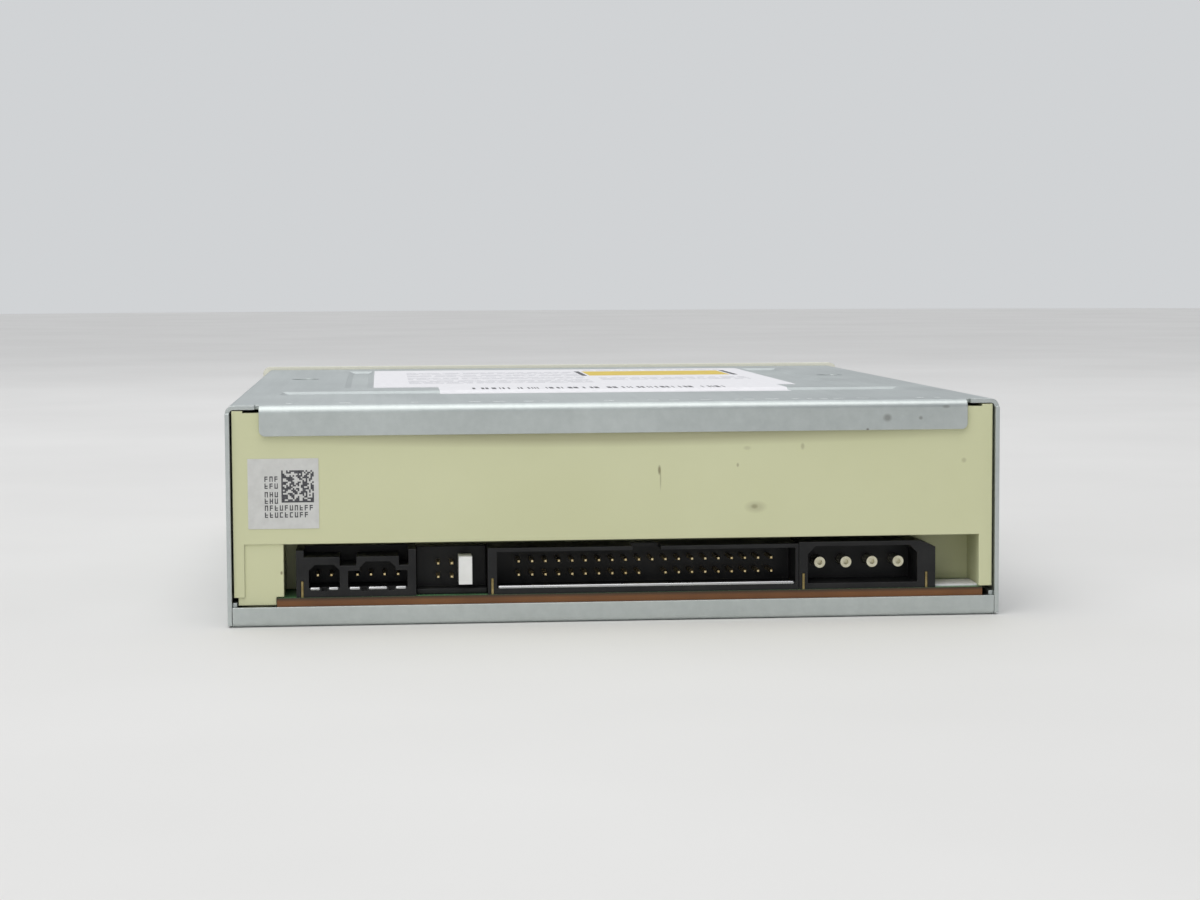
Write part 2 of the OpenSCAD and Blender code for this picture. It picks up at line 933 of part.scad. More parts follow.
// Rear wall, the shelf and bulkhead before it and the end block
module frame_rear_wall() {
  inner = frame_rear - frame_wall;
  span(frame_x, inner, frame_rear, window_z, frame_top - clear);
  block(-frame_x, -frame_x + end_post_w, inner, frame_rear, foot_z, window_z);
  span(inner_x, inner - shelf_d, inner, window_z, window_z + shelf_t);
  span(inner_x, inner - shelf_d, inner - shelf_d + bulkhead_t, foot_z, window_z);
  block(frame_x - end_block_w, inner_x, frame_rear - end_block_d, frame_rear - end_block_step, foot_z,
      window_z);
  block(frame_x - board_right + gap, leg_out, frame_rear - end_block_d, frame_rear - end_block_step,
      end_foot_z, foot_z);
}

// Front deck, guide wall and the track of the cam slider
module frame_deck() {
  guide_front = back_y + deck_l;
  span(inner_x, frame_front, guide_front, deck_low, deck_z);
  span(inner_x, guide_front, guide_rear, sheet + gap, deck_z);
  span(inner_x, guide_front, slider_y + slider_t + play + track_t, slider_z - play - track_t,
      slider_z - play);
  span(inner_x, slider_y + slider_t + play, slider_y + slider_t + play + track_t,
    slider_z - play - track_t, slider_z - play + track_lip_h);
  for (x = hook_post_xs) {
    block(x, x + hook_post_w, guide_front, guide_rear, deck_low, slider_top + play + track_t);
    block(x, x + hook_post_w, guide_front, slider_y + slider_t + play, slider_top + play,
        slider_top + play + track_t);
  }
  for (p = [[gear_x, gear_y], [pinion_x, pinion_y]]) bar_z(post_r, deck_low, rack_gear_top, p[0], p[1]);
  for (x = panel_xs) bar_z(panel_boss_r, panel_top, deck_low, x, back_y + panel_back);
}

// Bosses for the cover screws and the circuit board screws
module frame_bosses() {
  for (s = [-1, 1]) bar_z(cover_boss_r, cover_boss_z, deck_low, s * front_screw_x,
      back_y + front_back);
  bar_z(cover_boss_r, cover_boss_z, boss_top, left_screw_x, back_y + left_back);
  block(-inner_x, left_screw_x, back_y + left_back - frame_wall / 2,
      back_y + left_back + frame_wall / 2, foot_z, boss_top);
  bar_z(cover_boss_r, cover_boss_z, window_z, right_screw_x, rear_y - right_rear);
  for (y = board_ys) {
    bar_z(board_boss_r, board_top, boss_top, board_screw_x0, y);
    block(-inner_x, board_screw_x0, y - frame_wall / 2, y + frame_wall / 2, foot_z, boss_top);
    bar_z(board_boss_r, board_top, boss_top, board_screw_x1, y);
    block(board_screw_x1, inner_x, y - frame_wall / 2, y + frame_wall / 2, foot_z, boss_top);
  }
}

// Moulded frame that carries every other piece
module main_frame() color(cream) difference() {
  union() {
    sides() frame_side();
    frame_rear_wall();
    frame_deck();
    frame_bosses();
  }
  sides() side_mounts() bar_x(pocket_r, half_w - sheet - pocket_depth, half_w, 0, 0);
  base_mounts() at(0, 0, sheet) disc(pocket_r, board_top);
  sides() for (z = [hook_low_z, hook_high_z])
    block(inner_x - cut, frame_x + cut, back_y + hook_l - hook_barb_l - clear, back_y + hook_l + clear,
      z - clear, z + hook_h + clear);
  cover_screws_at() at(0, 0, sheet) disc(cover_screw_r, pan_depth + cover_screw_l);
  board_screws_at() at(0, 0, board_z) disc(board_screw_r, board_t + board_screw_l);
  hole_z(motor_boss_r + play, deck_low, deck_z, motor_x, motor_y);
  for (s = [-1, 1]) hole_z(motor_screw_r, deck_low, deck_z, motor_x + s * motor_screw_x, motor_y);
  sides() for (s = [-1, 1])
    hole_z(bridge_screw_r, hold_z, bridge_z, bridge_screw_x,
        disc_y + s * bridge_share * bridge_w / 2);
  for (x = panel_xs) bar_z(bridge_screw_r, panel_z, deck_low, x, back_y + panel_back);
}

// Solid of the bezel
module bezel_blank() {
  intersection() {
    along_y(face_y, back_y) at(0, bezel_h / 2) round_rect(bezel_w, bezel_h, bezel_corner);
    along_x(-bezel_w / 2, bezel_w / 2) round_span(face_y, back_y + cut + bezel_edge, 0, bezel_h,
        bezel_edge);
    along_z(0, bezel_h) round_span(-bezel_w / 2, bezel_w / 2, face_y, back_y + cut + bezel_edge,
        bezel_edge);
  }
}

// Snap hook at the back of the bezel, on the +X side
module bezel_hook(z) {
  tip = back_y + hook_l;
  along_z(z, z + hook_h) polygon([
    [hook_x, face_y + bezel_wall - gap], [hook_x + hook_t, face_y + bezel_wall - gap],
    [hook_x + hook_t, tip - hook_barb_l], [hook_x + hook_t + hook_barb, tip - hook_barb_l],
    [hook_x + hook_t, tip], [hook_x, tip]
  ]);
}

// Bezel with its openings and snap hooks
module front_bezel() color(ivory) {
  inner_y = face_y + bezel_wall;
  difference() {
    union() {
      difference() {
        bezel_blank();
        block(bezel_wall - bezel_w / 2, bezel_w / 2 - bezel_wall, inner_y, back_y + cut, bezel_wall,
            bezel_h - bezel_wall);
      }
      block(-opening_half - collar_w, opening_half + collar_w, inner_y - gap, back_y,
          opening_z0 - collar_w, opening_z1 + collar_w);
      for (s = [-1, 1]) at(eject_x + s * (eject_w / 2 + eject_flange + play + collar_w / 2), 0)
        block(-collar_w / 2, collar_w / 2, inner_y - gap, back_y - collar_w, front_z - eject_h / 2,
            front_z + eject_h / 2);
      sides() for (z = [hook_low_z, hook_high_z]) bezel_hook(z);
      bar_y(release_r + collar_w, inner_y - gap, back_y, release_x, front_z);
      bar_y(light_r + collar_w, inner_y - gap, back_y - collar_w, light_x, front_z);
    }
    span(opening_half, face_y - cut, back_y + cut, opening_z0, opening_z1);
    bar_y(jack_nose_r + play, face_y - cut, back_y + cut, jack_x, front_z);
    bar_y(light_r + gap, face_y - cut, back_y + cut, light_x, front_z);
    bar_y(release_r, face_y - cut, back_y + cut, release_x, front_z);
    block(wheel_x - wheel_slot_half, wheel_x + wheel_slot_half, face_y - cut, back_y + cut,
      knob_z - slot_room, knob_z + knob_t + slot_room);
    along_y(face_y - cut, inner_y + cut) at(eject_x, front_z)
      round_rect(eject_w + 2 * eject_gap, eject_h + 2 * eject_gap, bezel_edge);
  }
}

// Printed labels
module top_label() color(paper) {
  y0 = rear_y - label_back + label_l / 2;
  y1 = rear_y - groove_back - groove_w / 2;
  bar(label_x, label_w, y0 - label_l, y0, body_h, body_h + label_t);
  along_x(strip_x - strip_w / 2, strip_x + strip_w / 2) polygon([
    [y0 - gap, body_h], [y1 - slope, body_h], [y1, body_h - emboss], [rear_y - strip_end, body_h - emboss],
    [rear_y - strip_end, body_h - emboss + label_t], [y1, body_h - emboss + label_t],
    [y1 - slope, body_h + label_t], [y0 - gap, body_h + label_t]
  ]);
}
module rear_label() color(paper)
  block(frame_x - code_label_inset - code_label, frame_x - code_label_inset, frame_rear,
      frame_rear + label_t, code_label_z, code_label_z + code_label);

// Circuit board across the rear half
module main_board() color(board_brown) difference() {
  along_z(board_z, board_top) difference() {
    at(board_left - frame_x, back_y + board_front)
      square([2 * frame_x - board_left - board_right, rear_y - sheet - gap - back_y - board_front]);
    for (y = mount_ys) at(-mount_pitch_x / 2, y) circle(pocket_r + gap);
  }
  board_screws_at() hole_z(board_hole_r, board_z, board_top);
}
module board_screws() color(bright) board_screws_at()
  at(0, 0, board_z - board_head_h) screw_up(board_head_r, board_head_h, board_screw_r,
      board_t + board_screw_l);

// A flat chip with legs along two or four of its sides
module chip(x, y, w, l, four) {
  z = board_top + chip_gap;
  bar(x, w, y - l / 2, y + l / 2, z, z + chip_t);
  n = floor((w - lead_pitch) / lead_pitch);
  m = floor((l - lead_pitch) / lead_pitch);
  for (i = [0 : n - 1], s = [-1, 1]) at(x + (i - (n - 1) / 2) * lead_pitch, y + s * (l + lead_out) / 2,
      board_top + lead_t / 2)
    cube([lead_w, lead_out + gap, lead_t], center = true);
  if (four) for (i = [0 : m - 1], s = [-1, 1]) at(x + s * (w + lead_out) / 2,
      y + (i - (m - 1) / 2) * lead_pitch, board_top + lead_t / 2)
    cube([lead_out + gap, lead_w, lead_t], center = true);
}

// Chips and capacitors on top of the board
module board_chips() color(ink_black) {
  chip(0, back_y + board_front + chip_l, chip_l, chip_l, true);
  chip(-chip_l - chip_s, back_y + board_front + chip_l, chip_s, chip_l, false);
  chip(chip_l + chip_s, back_y + board_front + chip_s, chip_s, chip_s, true);
  chip(chip_l + chip_s, back_y + board_front + 3 * chip_s, chip_s, chip_s, false);
  chip(-chip_l, back_y + board_front + chip_l + 2 * chip_s, chip_l, chip_s, false);
}
module board_capacitors() color([0.16, 0.20, 0.34]) for (x = cap_xs)
  at(x, back_y + board_front + chip_l + chip_s, board_top) difference() {
    disc(cap_r, cap_h);
    for (a = [0, 90]) turn(a) at(-cap_r / 2, -lead_t / 2, cap_h - lead_t) cube([cap_r, lead_t, cut]);
  }

// A square pin along Y
module signal_pin(x, z, y0, y1) {
  h = pin_w / 2;
  block(x - h, x + h, y0, y1, z - h, z + h);
}

// Middle of a data pin column, counted from the +X end
function data_pin_x(i) = data_x + (data_columns - 1) * pin_pitch / 2 - i * pin_pitch;

// Data connector: an open box with a key gap in its upper wall
module data_connector() color(ink_black) {
  half = data_half;
  y0 = mouth_y - housing_d;
  floor_z = board_top + housing_floor;
  roof = data_top - data_roof;
  difference() {
    block(data_x - half - data_thin_wall, data_x + half + data_wall, y0, mouth_y, board_top, data_top);
    block(data_x - half, data_x + half, y0 + housing_t, mouth_y + cut, floor_z, roof);
    bar(data_x, data_key_w, mouth_y - data_key_l, mouth_y + cut, roof - cut, data_top + cut);
    for (i = [0 : data_columns - 1], r = [0, 1]) if (i != data_blank || r == 1)
      signal_pin(data_pin_x(i), row_z + r * pin_pitch, y0 - cut, y0 + housing_t + cut);
    lock_slots(data_x - half, data_x + half + data_wall);
  }
}
module data_pins() color(gold) for (i = [0 : data_columns - 1], r = [0, 1])
    if (i != data_blank || r == 1)
  signal_pin(data_pin_x(i), row_z + r * pin_pitch, pin_back, mouth_y - data_pin_in);

// Slots for the board locks between two places
module lock_slots(x0, x1) {
  for (x = lock_xs) if (x > x0 && x < x1)
    block(x - lock_t / 2 - gap, x + lock_t / 2 + gap, mouth_y - lock_d - gap, mouth_y + cut,
        board_top - cut, lock_z + lock_h + gap);
}

// Spring steel locks of the connectors
module board_locks() color(bright) for (x = lock_xs)
  bar(x, lock_t, mouth_y - lock_d, mouth_y, board_top, lock_z + lock_h);

// A plug opening with two cut corners
module mouth(x, w, z0, z1, c) {
  polygon([[x - w / 2, z0], [x + w / 2, z0], [x + w / 2, z1 - c], [x + w / 2 - c, z1],
    [x - w / 2 + c, z1], [x - w / 2, z1 - c]]);
}

// Power connector
module power_connector() color(ink_black) {
  half = power_half;
  y0 = mouth_y - housing_d;
  x0 = power_x - half - power_wall_out;
  difference() {
    along_y(y0, mouth_y) polygon([
      [x0, board_top], [power_x + half + power_wall_in, board_top], [power_x + half + power_wall_in,
          power_top], [x0 + power_corner_w, power_top], [x0, power_top - power_corner_h]
    ]);
    along_y(y0 + housing_t, mouth_y + cut)
      mouth(power_x, 2 * half, power_floor, power_top - power_roof, power_chamfer);
    for (i = [0 : power_pins_n - 1]) bar_y(power_pin_r, y0 - cut, y0 + housing_t + cut, power_pin_x(i),
        power_pin_z);
    lock_slots(x0, power_x + half + power_wall_in);
  }
}
function power_pin_x(i) = power_x + ((power_pins_n - 1) / 2 - i) * power_pitch;

// Power pins with hollow tips
module power_pins() color(bright) for (i = [0 : power_pins_n - 1]) difference() {
  bar_y(power_pin_r, pin_back, mouth_y - power_pin_in, power_pin_x(i), power_pin_z);
  bar_y(power_tip_r, mouth_y - power_pin_in - power_tip_depth, mouth_y, power_pin_x(i), power_pin_z);
}

// Audio connectors in one housing: two pins, and four beside them
module audio_connector() color(ink_black) {
  y0 = mouth_y - housing_d;
  key_half = analogue_key_w / 2 + data_thin_wall;
  difference() {
    block(audio_x0, audio_x1, y0, mouth_y, board_top, audio_top);
    along_y(y0 + housing_t, mouth_y + cut) {
      mouth(digital_x, digital_w, audio_floor, digital_top, audio_chamfer);
      mouth(analogue_x, analogue_w, audio_floor, analogue_top, gap);
      mouth(analogue_x, analogue_key_w, audio_floor, analogue_key_top, audio_chamfer);
    }
    for (x = audio_pin_xs()) signal_pin(x, audio_pin_z, y0 - cut, y0 + housing_t + cut);
    for (x = [digital_x, analogue_x + pin_pitch, analogue_x - pin_pitch])
      bar(x, audio_finger_w, mouth_y - housing_t, mouth_y + cut, board_top + housing_floor,
          audio_floor + cut);
    for (r = [[audio_x0 + audio_post, audio_x1 - audio_post, audio_roof],
        [analogue_x + key_half, digital_x - digital_w / 2, audio_low],
        [audio_x0 + audio_post, analogue_x - key_half, audio_low]])
      block(r[0], r[1], y0 + housing_t, mouth_y + cut, r[2], audio_top + cut);
    lock_slots(audio_x0, audio_x1);
  }
}
function audio_pin_xs() = concat([for (s = [0.5, -0.5]) digital_x + s * pin_pitch],
  [for (s = [1.5, 0.5, -0.5, -1.5]) analogue_x + s * pin_pitch]);
module audio_pins() color(gold) for (x = audio_pin_xs())
  signal_pin(x, audio_pin_z, pin_back, mouth_y - audio_pin_in);

// Jumper block that fills the row between its neighbours, and the cap on one column
module jumper_header() {
  x0 = data_x + data_half + data_wall + gap;
  y0 = mouth_y - housing_d;
  y1 = y0 + jumper_base_t;
  color(ink_black) difference() {
    union() {
      block(x0, audio_x0 - gap, y0, y1, board_top, data_top);
      block(x0, audio_x0 - gap, y0, mouth_y - housing_t, board_top, board_top + housing_floor);
    }
    jumper_pins_at(y0 - cut, y1 + cut);
  }
  color(gold) jumper_pins_at(pin_back, mouth_y - jumper_pin_in);
}
module jumper_pins_at(y0, y1) {
  for (i = [0 : jumper_n - 1], r = [0, 1])
    signal_pin(jumper_x + ((jumper_n - 1) / 2 - i) * pin_pitch, row_z + r * pin_pitch, y0, y1);
}
module jumper_cap() color([0.92, 0.92, 0.90]) {
  x = jumper_x - (jumper_n - 1) / 2 * pin_pitch;
  z = row_z + pin_pitch / 2;
  y1 = mouth_y - jumper_pin_in + housing_t;
  difference() {
    bar(x, jumper_cap_w, y1 - jumper_cap_l, y1, z - jumper_cap_h / 2, z + jumper_cap_h / 2);
    for (r = [0, 1]) block(x - pin_w / 2 - gap / 2, x + pin_w / 2 + gap / 2, y1 - jumper_cap_l - cut,
        y1 - housing_t + gap,
      row_z + r * pin_pitch - pin_w / 2 - gap / 2, row_z + r * pin_pitch + pin_w / 2 + gap / 2);
  }
}

// Involute of an angle, in degrees
function involute(a) = tan(a) * 180 / PI - a;

// Half the angle that a tooth spans at a radius
function tooth_half(teeth, r) = let (rp = teeth * tooth_m / 2, rb = rp * cos(pitch_angle))
  ((PI * tooth_m / 2 - tooth_play) / 2 / rp) * 180 / PI + involute(pitch_angle)
      - involute(r > rb ? acos(rb / r) : 0);

// Outline of a spur gear, with one tooth on the +X axis
module gear_outline(teeth) {
  rp = teeth * tooth_m / 2;
  root = rp - dedendum_share * tooth_m;
  tip = rp + addendum_share * tooth_m;
  radii = [root, (root + rp) / 2, rp, tip];
  polygon([for (i = [0 : teeth - 1], k = [0 : 7])
    let (r = radii[k < 4 ? k : 7 - k], s = k < 4 ? -1 : 1, a = i * 360 / teeth + s * tooth_half(teeth,
        r)) [r * cos(a), r * sin(a)]]);
}

// Outline of the tray rack
module rack_outline() {
  pitch = PI * tooth_m;
  half = (pitch / 2 - tooth_play) / 2;
  root = -dedendum_share * tooth_m;
  tip = addendum_share * tooth_m;
  first = ceil((tray_front + 2 * rack_depth - gear_y) / pitch);
  last = floor((tray_rear - rack_inset - gear_y) / pitch);
  root_half = half - root * tan(pitch_angle);
  tip_half = half - tip * tan(pitch_angle);
  polygon(concat([[rack_x - rack_depth, gear_y + first * pitch]],
    [[rack_x - rack_depth, gear_y + (last + 1) * pitch], [rack_x + root, gear_y + (last + 1) * pitch]],
    [for (i = [last : -1 : first], k = [0 : 3]) let (y = gear_y + (i + 0.5) * pitch)
      [rack_x + (k == 0 || k == 3 ? root : tip),
          y + (k < 2 ? 1 : -1) * (k == 0 || k == 3 ? root_half : tip_half)]],
    [[rack_x + root, gear_y + first * pitch]]));
}

// Gear of the tray rack, with the large gear below it
module tray_gear() color(gear_white) at(gear_x, gear_y) difference() {
  wheel_z = deck_z + washer_t + gap;
  union() {
    bar_z(pinion_r - tooth_m, deck_z + gap, wheel_z + gap, 0, 0);
    turn(mesh_angle) along_z(wheel_z, wheel_z + wheel_t) gear_outline(wheel_teeth);
    turn(180) along_z(wheel_z + wheel_t - gap, rack_gear_top) gear_outline(rack_gear_teeth);
  }
  hole_z(post_r + run_gap, deck_z, rack_gear_top);
  difference() {
    bar_z(wheel_r - 2 * tooth_m - gear_web_t / 2, wheel_z - cut, wheel_z + gear_web_t / 2, 0, 0);
    bar_z(rack_gear_r, wheel_z - 2 * cut, wheel_z + wheel_t, 0, 0);
  }
}

// Belt pulley with the pinion under it
module pulley_gear() color(gear_white) at(pinion_x, pinion_y) difference() {
  union() {
    bar_z(pinion_r - tooth_m, deck_z + gap, deck_z + washer_t + 2 * gap, 0, 0);
    turn(mesh_angle + 180 + 180 / pinion_teeth)
      along_z(deck_z + washer_t + gap, pulley_z) gear_outline(pinion_teeth);
    rotate_extrude() pulley_half(pulley_r, pulley_rim, pulley_z);
  }
  hole_z(post_r + run_gap, deck_z, pulley_z + pulley_t);
  difference() {
    bar_z(pulley_r - pulley_rim, pulley_z + pulley_t / 2, pulley_z + pulley_t + cut, 0, 0);
    bar_z(post_r + gear_web_t + run_gap, pulley_z, pulley_z + pulley_t + 2 * cut, 0, 0);
  }
}

// Half section of a pulley
module pulley_half(groove_r, rim, z) {
  rim_h = (pulley_t - groove_h) / 2;
  difference() {
    at(0, z) square([groove_r + rim, pulley_t]);
    at(groove_r, z + rim_h) square([rim + cut, groove_h]);
  }
}
module motor_pulley() color(gear_white) at(motor_x, motor_y) {
  rotate_extrude() pulley_half(motor_pulley_r, pulley_rim / 2, pulley_z);
  bar_z(motor_shaft_r, deck_low + motor_boss_h + gap, pulley_z + gap, 0, 0);
}

// One straight run of the belt
module belt_run(s, a, b, d) {
  slim = belt_t - 2 * belt_step;
  turn(a + s * b) at(pulley_r + belt_gap, 0) turn(-s * 90)
    at(-gap, s > 0 ? belt_step : -belt_step - slim, belt_step) cube([d * sin(b) + 2 * gap, slim, slim]);
}

// Arc of the belt from one angle to another
module belt_arc(r, from, to) {
  turn(from) rotate_extrude(angle = to - from) at(r + belt_gap, 0) square(belt_t);
}

// Rubber belt: an arc round each pulley and two straight runs
module drive_belt() color(rubber_black) at(pinion_x, pinion_y, belt_z - belt_t / 2) {
  dx = motor_x - pinion_x;
  dy = motor_y - pinion_y;
  d = norm([dx, dy]);
  a = atan2(dy, dx);
  b = acos((pulley_r - motor_pulley_r) / d);
  belt_arc(pulley_r, a + b, a - b + 360);
  at(dx, dy) belt_arc(motor_pulley_r, a - b, a + b);
  for (s = [-1, 1]) belt_run(s, a, b, d);
}

// Small direct current motor hung under the deck
module loading_motor() color(bright) at(motor_x, motor_y) {
  top = deck_low;
  rotate_extrude() difference() {
    union() {
      at(0, top - motor_h) square([motor_r, motor_h]);
      at(0, top - gap) square([motor_boss_r, motor_boss_h + gap]);
    }
    at(motor_r - motor_screw_r / 2, top - motor_h) square([motor_r, gear_web_t]);
  }
}

// Cam slider with slanted slots that lift the frame
module cam_slider() color(gear_white) {
  rise = cam_pin_z - cam_low_z();
  difference() {
    union() {
      block(slider_x0, slider_x0 + slider_l, slider_y, slider_y + slider_t, slider_z, slider_top);
      along_z(rack_low, slider_top) slider_rack();
    }
    for (x = [-cam_pin_x, cam_pin_x]) along_y(slider_y - cut, slider_y + slider_t + cut) {
      slot_line(x, cam_low_z(), x - slider_travel, cam_low_z() + rise, cam_pin_r + cam_gap);
      slot_line(x, cam_low_z(), x + dwell, cam_low_z(), cam_pin_r + cam_gap);
      slot_line(x - slider_travel, cam_pin_z, x - slider_travel - dwell, cam_pin_z, cam_pin_r + cam_gap);
    }
  }
}

// Height of a cam pin with the lift down
function cam_low_z() = pivot_z + (slider_y + slider_t / 2 - pivot_y) * sin(lift_angle)
    + (cam_pin_z - pivot_z) * cos(lift_angle);

// Teeth on the front of the slider
module slider_rack() {
  pitch = PI * tooth_m;
  n = floor(rack_l / pitch);
  tip = slider_y - rack_out;
  root = tip + (addendum_share + dedendum_share) * tooth_m;
  polygon(concat([[rack_start, slider_y + gap], [rack_start, root]],
    [for (i = [0 : n - 1], k = [0 : 3]) [rack_start + (i + tooth_shares[k]) * pitch,
        (k == 0 || k == 3) ? root : tip]],
    [[rack_start + n * pitch, root], [rack_start + n * pitch, slider_y + gap]]));
}

// Lets a raised piece down about the pivot
module lowered() {
  at(0, pivot_y, pivot_z) rotate([lift_angle, 0, 0]) at(0, -pivot_y, -pivot_z) children();
}

// Lift frame: a ring with cam pins in front and pivot pins behind
module lift_frame() color([0.16, 0.16, 0.17]) lowered() difference() {
  union() {
    along_z(lift_z, damper_z) lift_ring(lift_rail_w, lift_front_rail, lift_rear_rail);
    along_z(damper_z - gap, lift_rim_top) lift_ring(lift_rim_t, lift_rim_t, lift_rim_t);
    for (x = [-cam_pin_x, cam_pin_x]) bar_y(cam_pin_r, slider_y, lift_y0 + lift_rim_t / 2, x, cam_pin_z);
    sides() bar_x(pivot_r, lift_half_w - lift_rim_t, lift_half_w + pivot_l, pivot_y, pivot_z);
  }
  dampers_at() hole_z(damper_hole - play - play, lift_z, damper_z);
}
module lift_ring(side, front, rear) {
  difference() {
    round_span(-lift_half_w, lift_half_w, lift_y0, lift_y1, lift_corner_r);
    round_span(side - lift_half_w, lift_half_w - side, lift_y0 + front, lift_y1 - rear,
        lift_corner_r - lift_rim_t);
  }
}

// Places of the four rubber dampers
module dampers_at() {
  for (s = [-1, 1], y = damper_ys) at(s * damper_x, y) children();
}
module dampers() color(rubber_black) lowered() dampers_at() at(0, 0, damper_z) rotate_extrude()
    difference() {
  at(damper_hole, 0) square([damper_r - damper_hole, damper_h]);
  at(damper_neck_r, damper_head_h) square([damper_r, traverse_t + 2 * gap]);
}
module damper_screws() color(bright) lowered() dampers_at() {
  bar_z(damper_hole - gap, damper_z, damper_z + damper_h + gap, 0, 0);
  bar_z(damper_hole - play - play, lift_z + gap, damper_z + gap, 0, 0);
  at(0, 0, damper_z + damper_h) difference() {
    disc(damper_cap_r, damper_cap_h);
    for (a = [0, 90]) turn(a) at(-damper_hole, -damper_hole / 4, damper_cap_h / 2)
      cube([2 * damper_hole, damper_hole / 2, cut]);
  }
}

// Steel plate that floats on the dampers
module traverse_plate() color(steel) lowered() {
  y0 = back_y + plate_front;
  difference() {
    union() {
      along_z(plate_z, plate_top) round_span(-plate_half, plate_half, y0, y0 + plate_l, plate_corner);
      sides() block(plate_half - traverse_t, plate_half, damper_ys[0] + 2 * damper_r,
          damper_ys[1] - 2 * damper_r, plate_z, plate_top + plate_lip);
    }
    block(sled_open_x0, sled_open_x1, disc_y + sled_open_y, disc_y + sled_open_y + sled_open_l,
        plate_z - cut, plate_top + cut);
    block(sled_open_x1 - cut, screw_open_x1, disc_y + screw_open_y, disc_y + screw_open_y + screw_open_l,
        plate_z - cut, plate_top + cut);
    dampers_at() hole_z(damper_neck_r + gap, plate_z, plate_top);
    hole_z(bearing_r + play, plate_z, plate_top, 0, disc_y);
  }
}

// Spindle motor base with three ears and a bearing
module spindle_base() color(bright) lowered() at(0, disc_y, plate_top) difference() {
  union() {
    disc(spindle_r, spin_t);
    for (a = [0, 180, 270]) turn(a) {
      at(ear_out, 0) disc(ear_r, spin_t);
      at(0, -ear_r) cube([ear_out, 2 * ear_r, spin_t]);
      at(ear_out, 0) disc(ear_r / 2, 2 * spin_t);
    }
    disc(bearing_r, bearing_h);
  }
  at(0, 0, -cut) disc(shaft_r + run_gap, bearing_h + 2 * cut);
}

// Turntable, rotor cup and shaft, with the cone that centres the disc
module turntable() color([0.22, 0.22, 0.23]) lowered() at(0, disc_y) rotate_extrude() {
  base_z = plate_top + spin_t;
  cup_z = base_z + rotor_gap;
  cup_top = cup_z + rotor_h;
  table_under = table_z - table_t;
  polygon([
    [0, plate_top], [shaft_r, plate_top], [shaft_r, cup_top - rotor_wall],
        [rotor_r - rotor_wall, cup_top - rotor_wall],
    [rotor_r - rotor_wall, cup_z], [rotor_r, cup_z], [rotor_r, cup_top - rotor_wall / 2],
        [rotor_r - rotor_wall / 2, cup_top],
    [hub_r, cup_top], [hub_r, table_under], [turntable_r, table_under], [turntable_r, table_z - ring_t],
        [ring_in_r, table_z - ring_t],
    [ring_in_r, table_z], [hub_r, table_z], [hub_r, table_z + hub_h - hub_slope],
        [hub_r - hub_slope, table_z + hub_h], [0, table_z + hub_h]
  ]);
}
module turntable_ring() color(rubber_black) lowered() at(0, disc_y) rotate_extrude()
  at(ring_in_r + gap / 2, table_z - ring_t) square([turntable_r - ring_in_r - gap, ring_t]);

// Guide rods of the pickup and their four holders
module guide_rod(x) {
  lowered() bar_y(rod_r, disc_y + rod_y0, disc_y + rod_y0 + rod_l, x, rod_z);
}
module main_rod() color(bright) guide_rod(rod_x);
module sub_rod() color(bright) guide_rod(-rod_x);
module rod_holders() color(ink_black) lowered()
  for (s = [-1, 1], y = [disc_y + rod_y0 + holder_inset, disc_y + rod_y0 + rod_l - holder_inset - holder_l])
    at(s * rod_x, y) difference() {
      union() {
        block(-holder_w / 2, holder_w / 2, 0, holder_l, plate_top, plate_top + holder_h);
        at(-s * (holder_w + holder_ear_w) / 2, holder_l / 2, plate_top + holder_ear_t / 2)
          cube([holder_ear_w, holder_l, holder_ear_t], center = true);
      }
      bar_y(rod_r + gap / 5, -cut, holder_l + cut, 0, rod_z);
      hole_z(lead_pin_r, plate_top, plate_top + holder_ear_t, -s * (holder_w + holder_ear_w) / 2,
          holder_l / 2);
    }

// Sled motor with the bracket that carries the lead screw
module sled_motor() color(bright) lowered() at(0, disc_y + sled_back) {
  end = sled_motor_l;
  x0 = rod_x + holder_w / 2 + play;
  x1 = lead_x + bracket_w / 2 + bracket_t;
  z0 = lead_z - bracket_h / 2;
  difference() {
    union() {
      bar_y(sled_motor_r, 0, sled_motor_l, lead_x, lead_z);
      block(x0, x1, end, end + bracket_t, z0, z0 + bracket_h);
      block(x0, x1, end + bracket_l - bracket_t, end + bracket_l, z0, z0 + bracket_h);
      block(x1 - bracket_t, x1, end, end + bracket_l, z0, z0 + bracket_h);
      for (y = bracket_tab_ys) block(x1 - bracket_t, x1 + bracket_tab_w, end + y,
          end + y + bracket_tab_l, plate_top, plate_top + bracket_t);
    }
    bar_y(lead_pin_r + run_gap, end - cut, end + bracket_l + cut, lead_x, lead_z);
    for (y = bracket_tab_ys) hole_z(lead_pin_r, plate_top, plate_top + bracket_t, x1 + bracket_tab_w / 2,
        end + y + bracket_tab_l / 2);
  }
}
module lead_screw() color(bright) lowered() at(0, disc_y + sled_back + sled_motor_l) {
  bar_y(lead_pin_r, gap - cut, bracket_l, lead_x, lead_z);
  bar_y(lead_r, bracket_t + play, bracket_l - bracket_t - play, lead_x, lead_z);
}

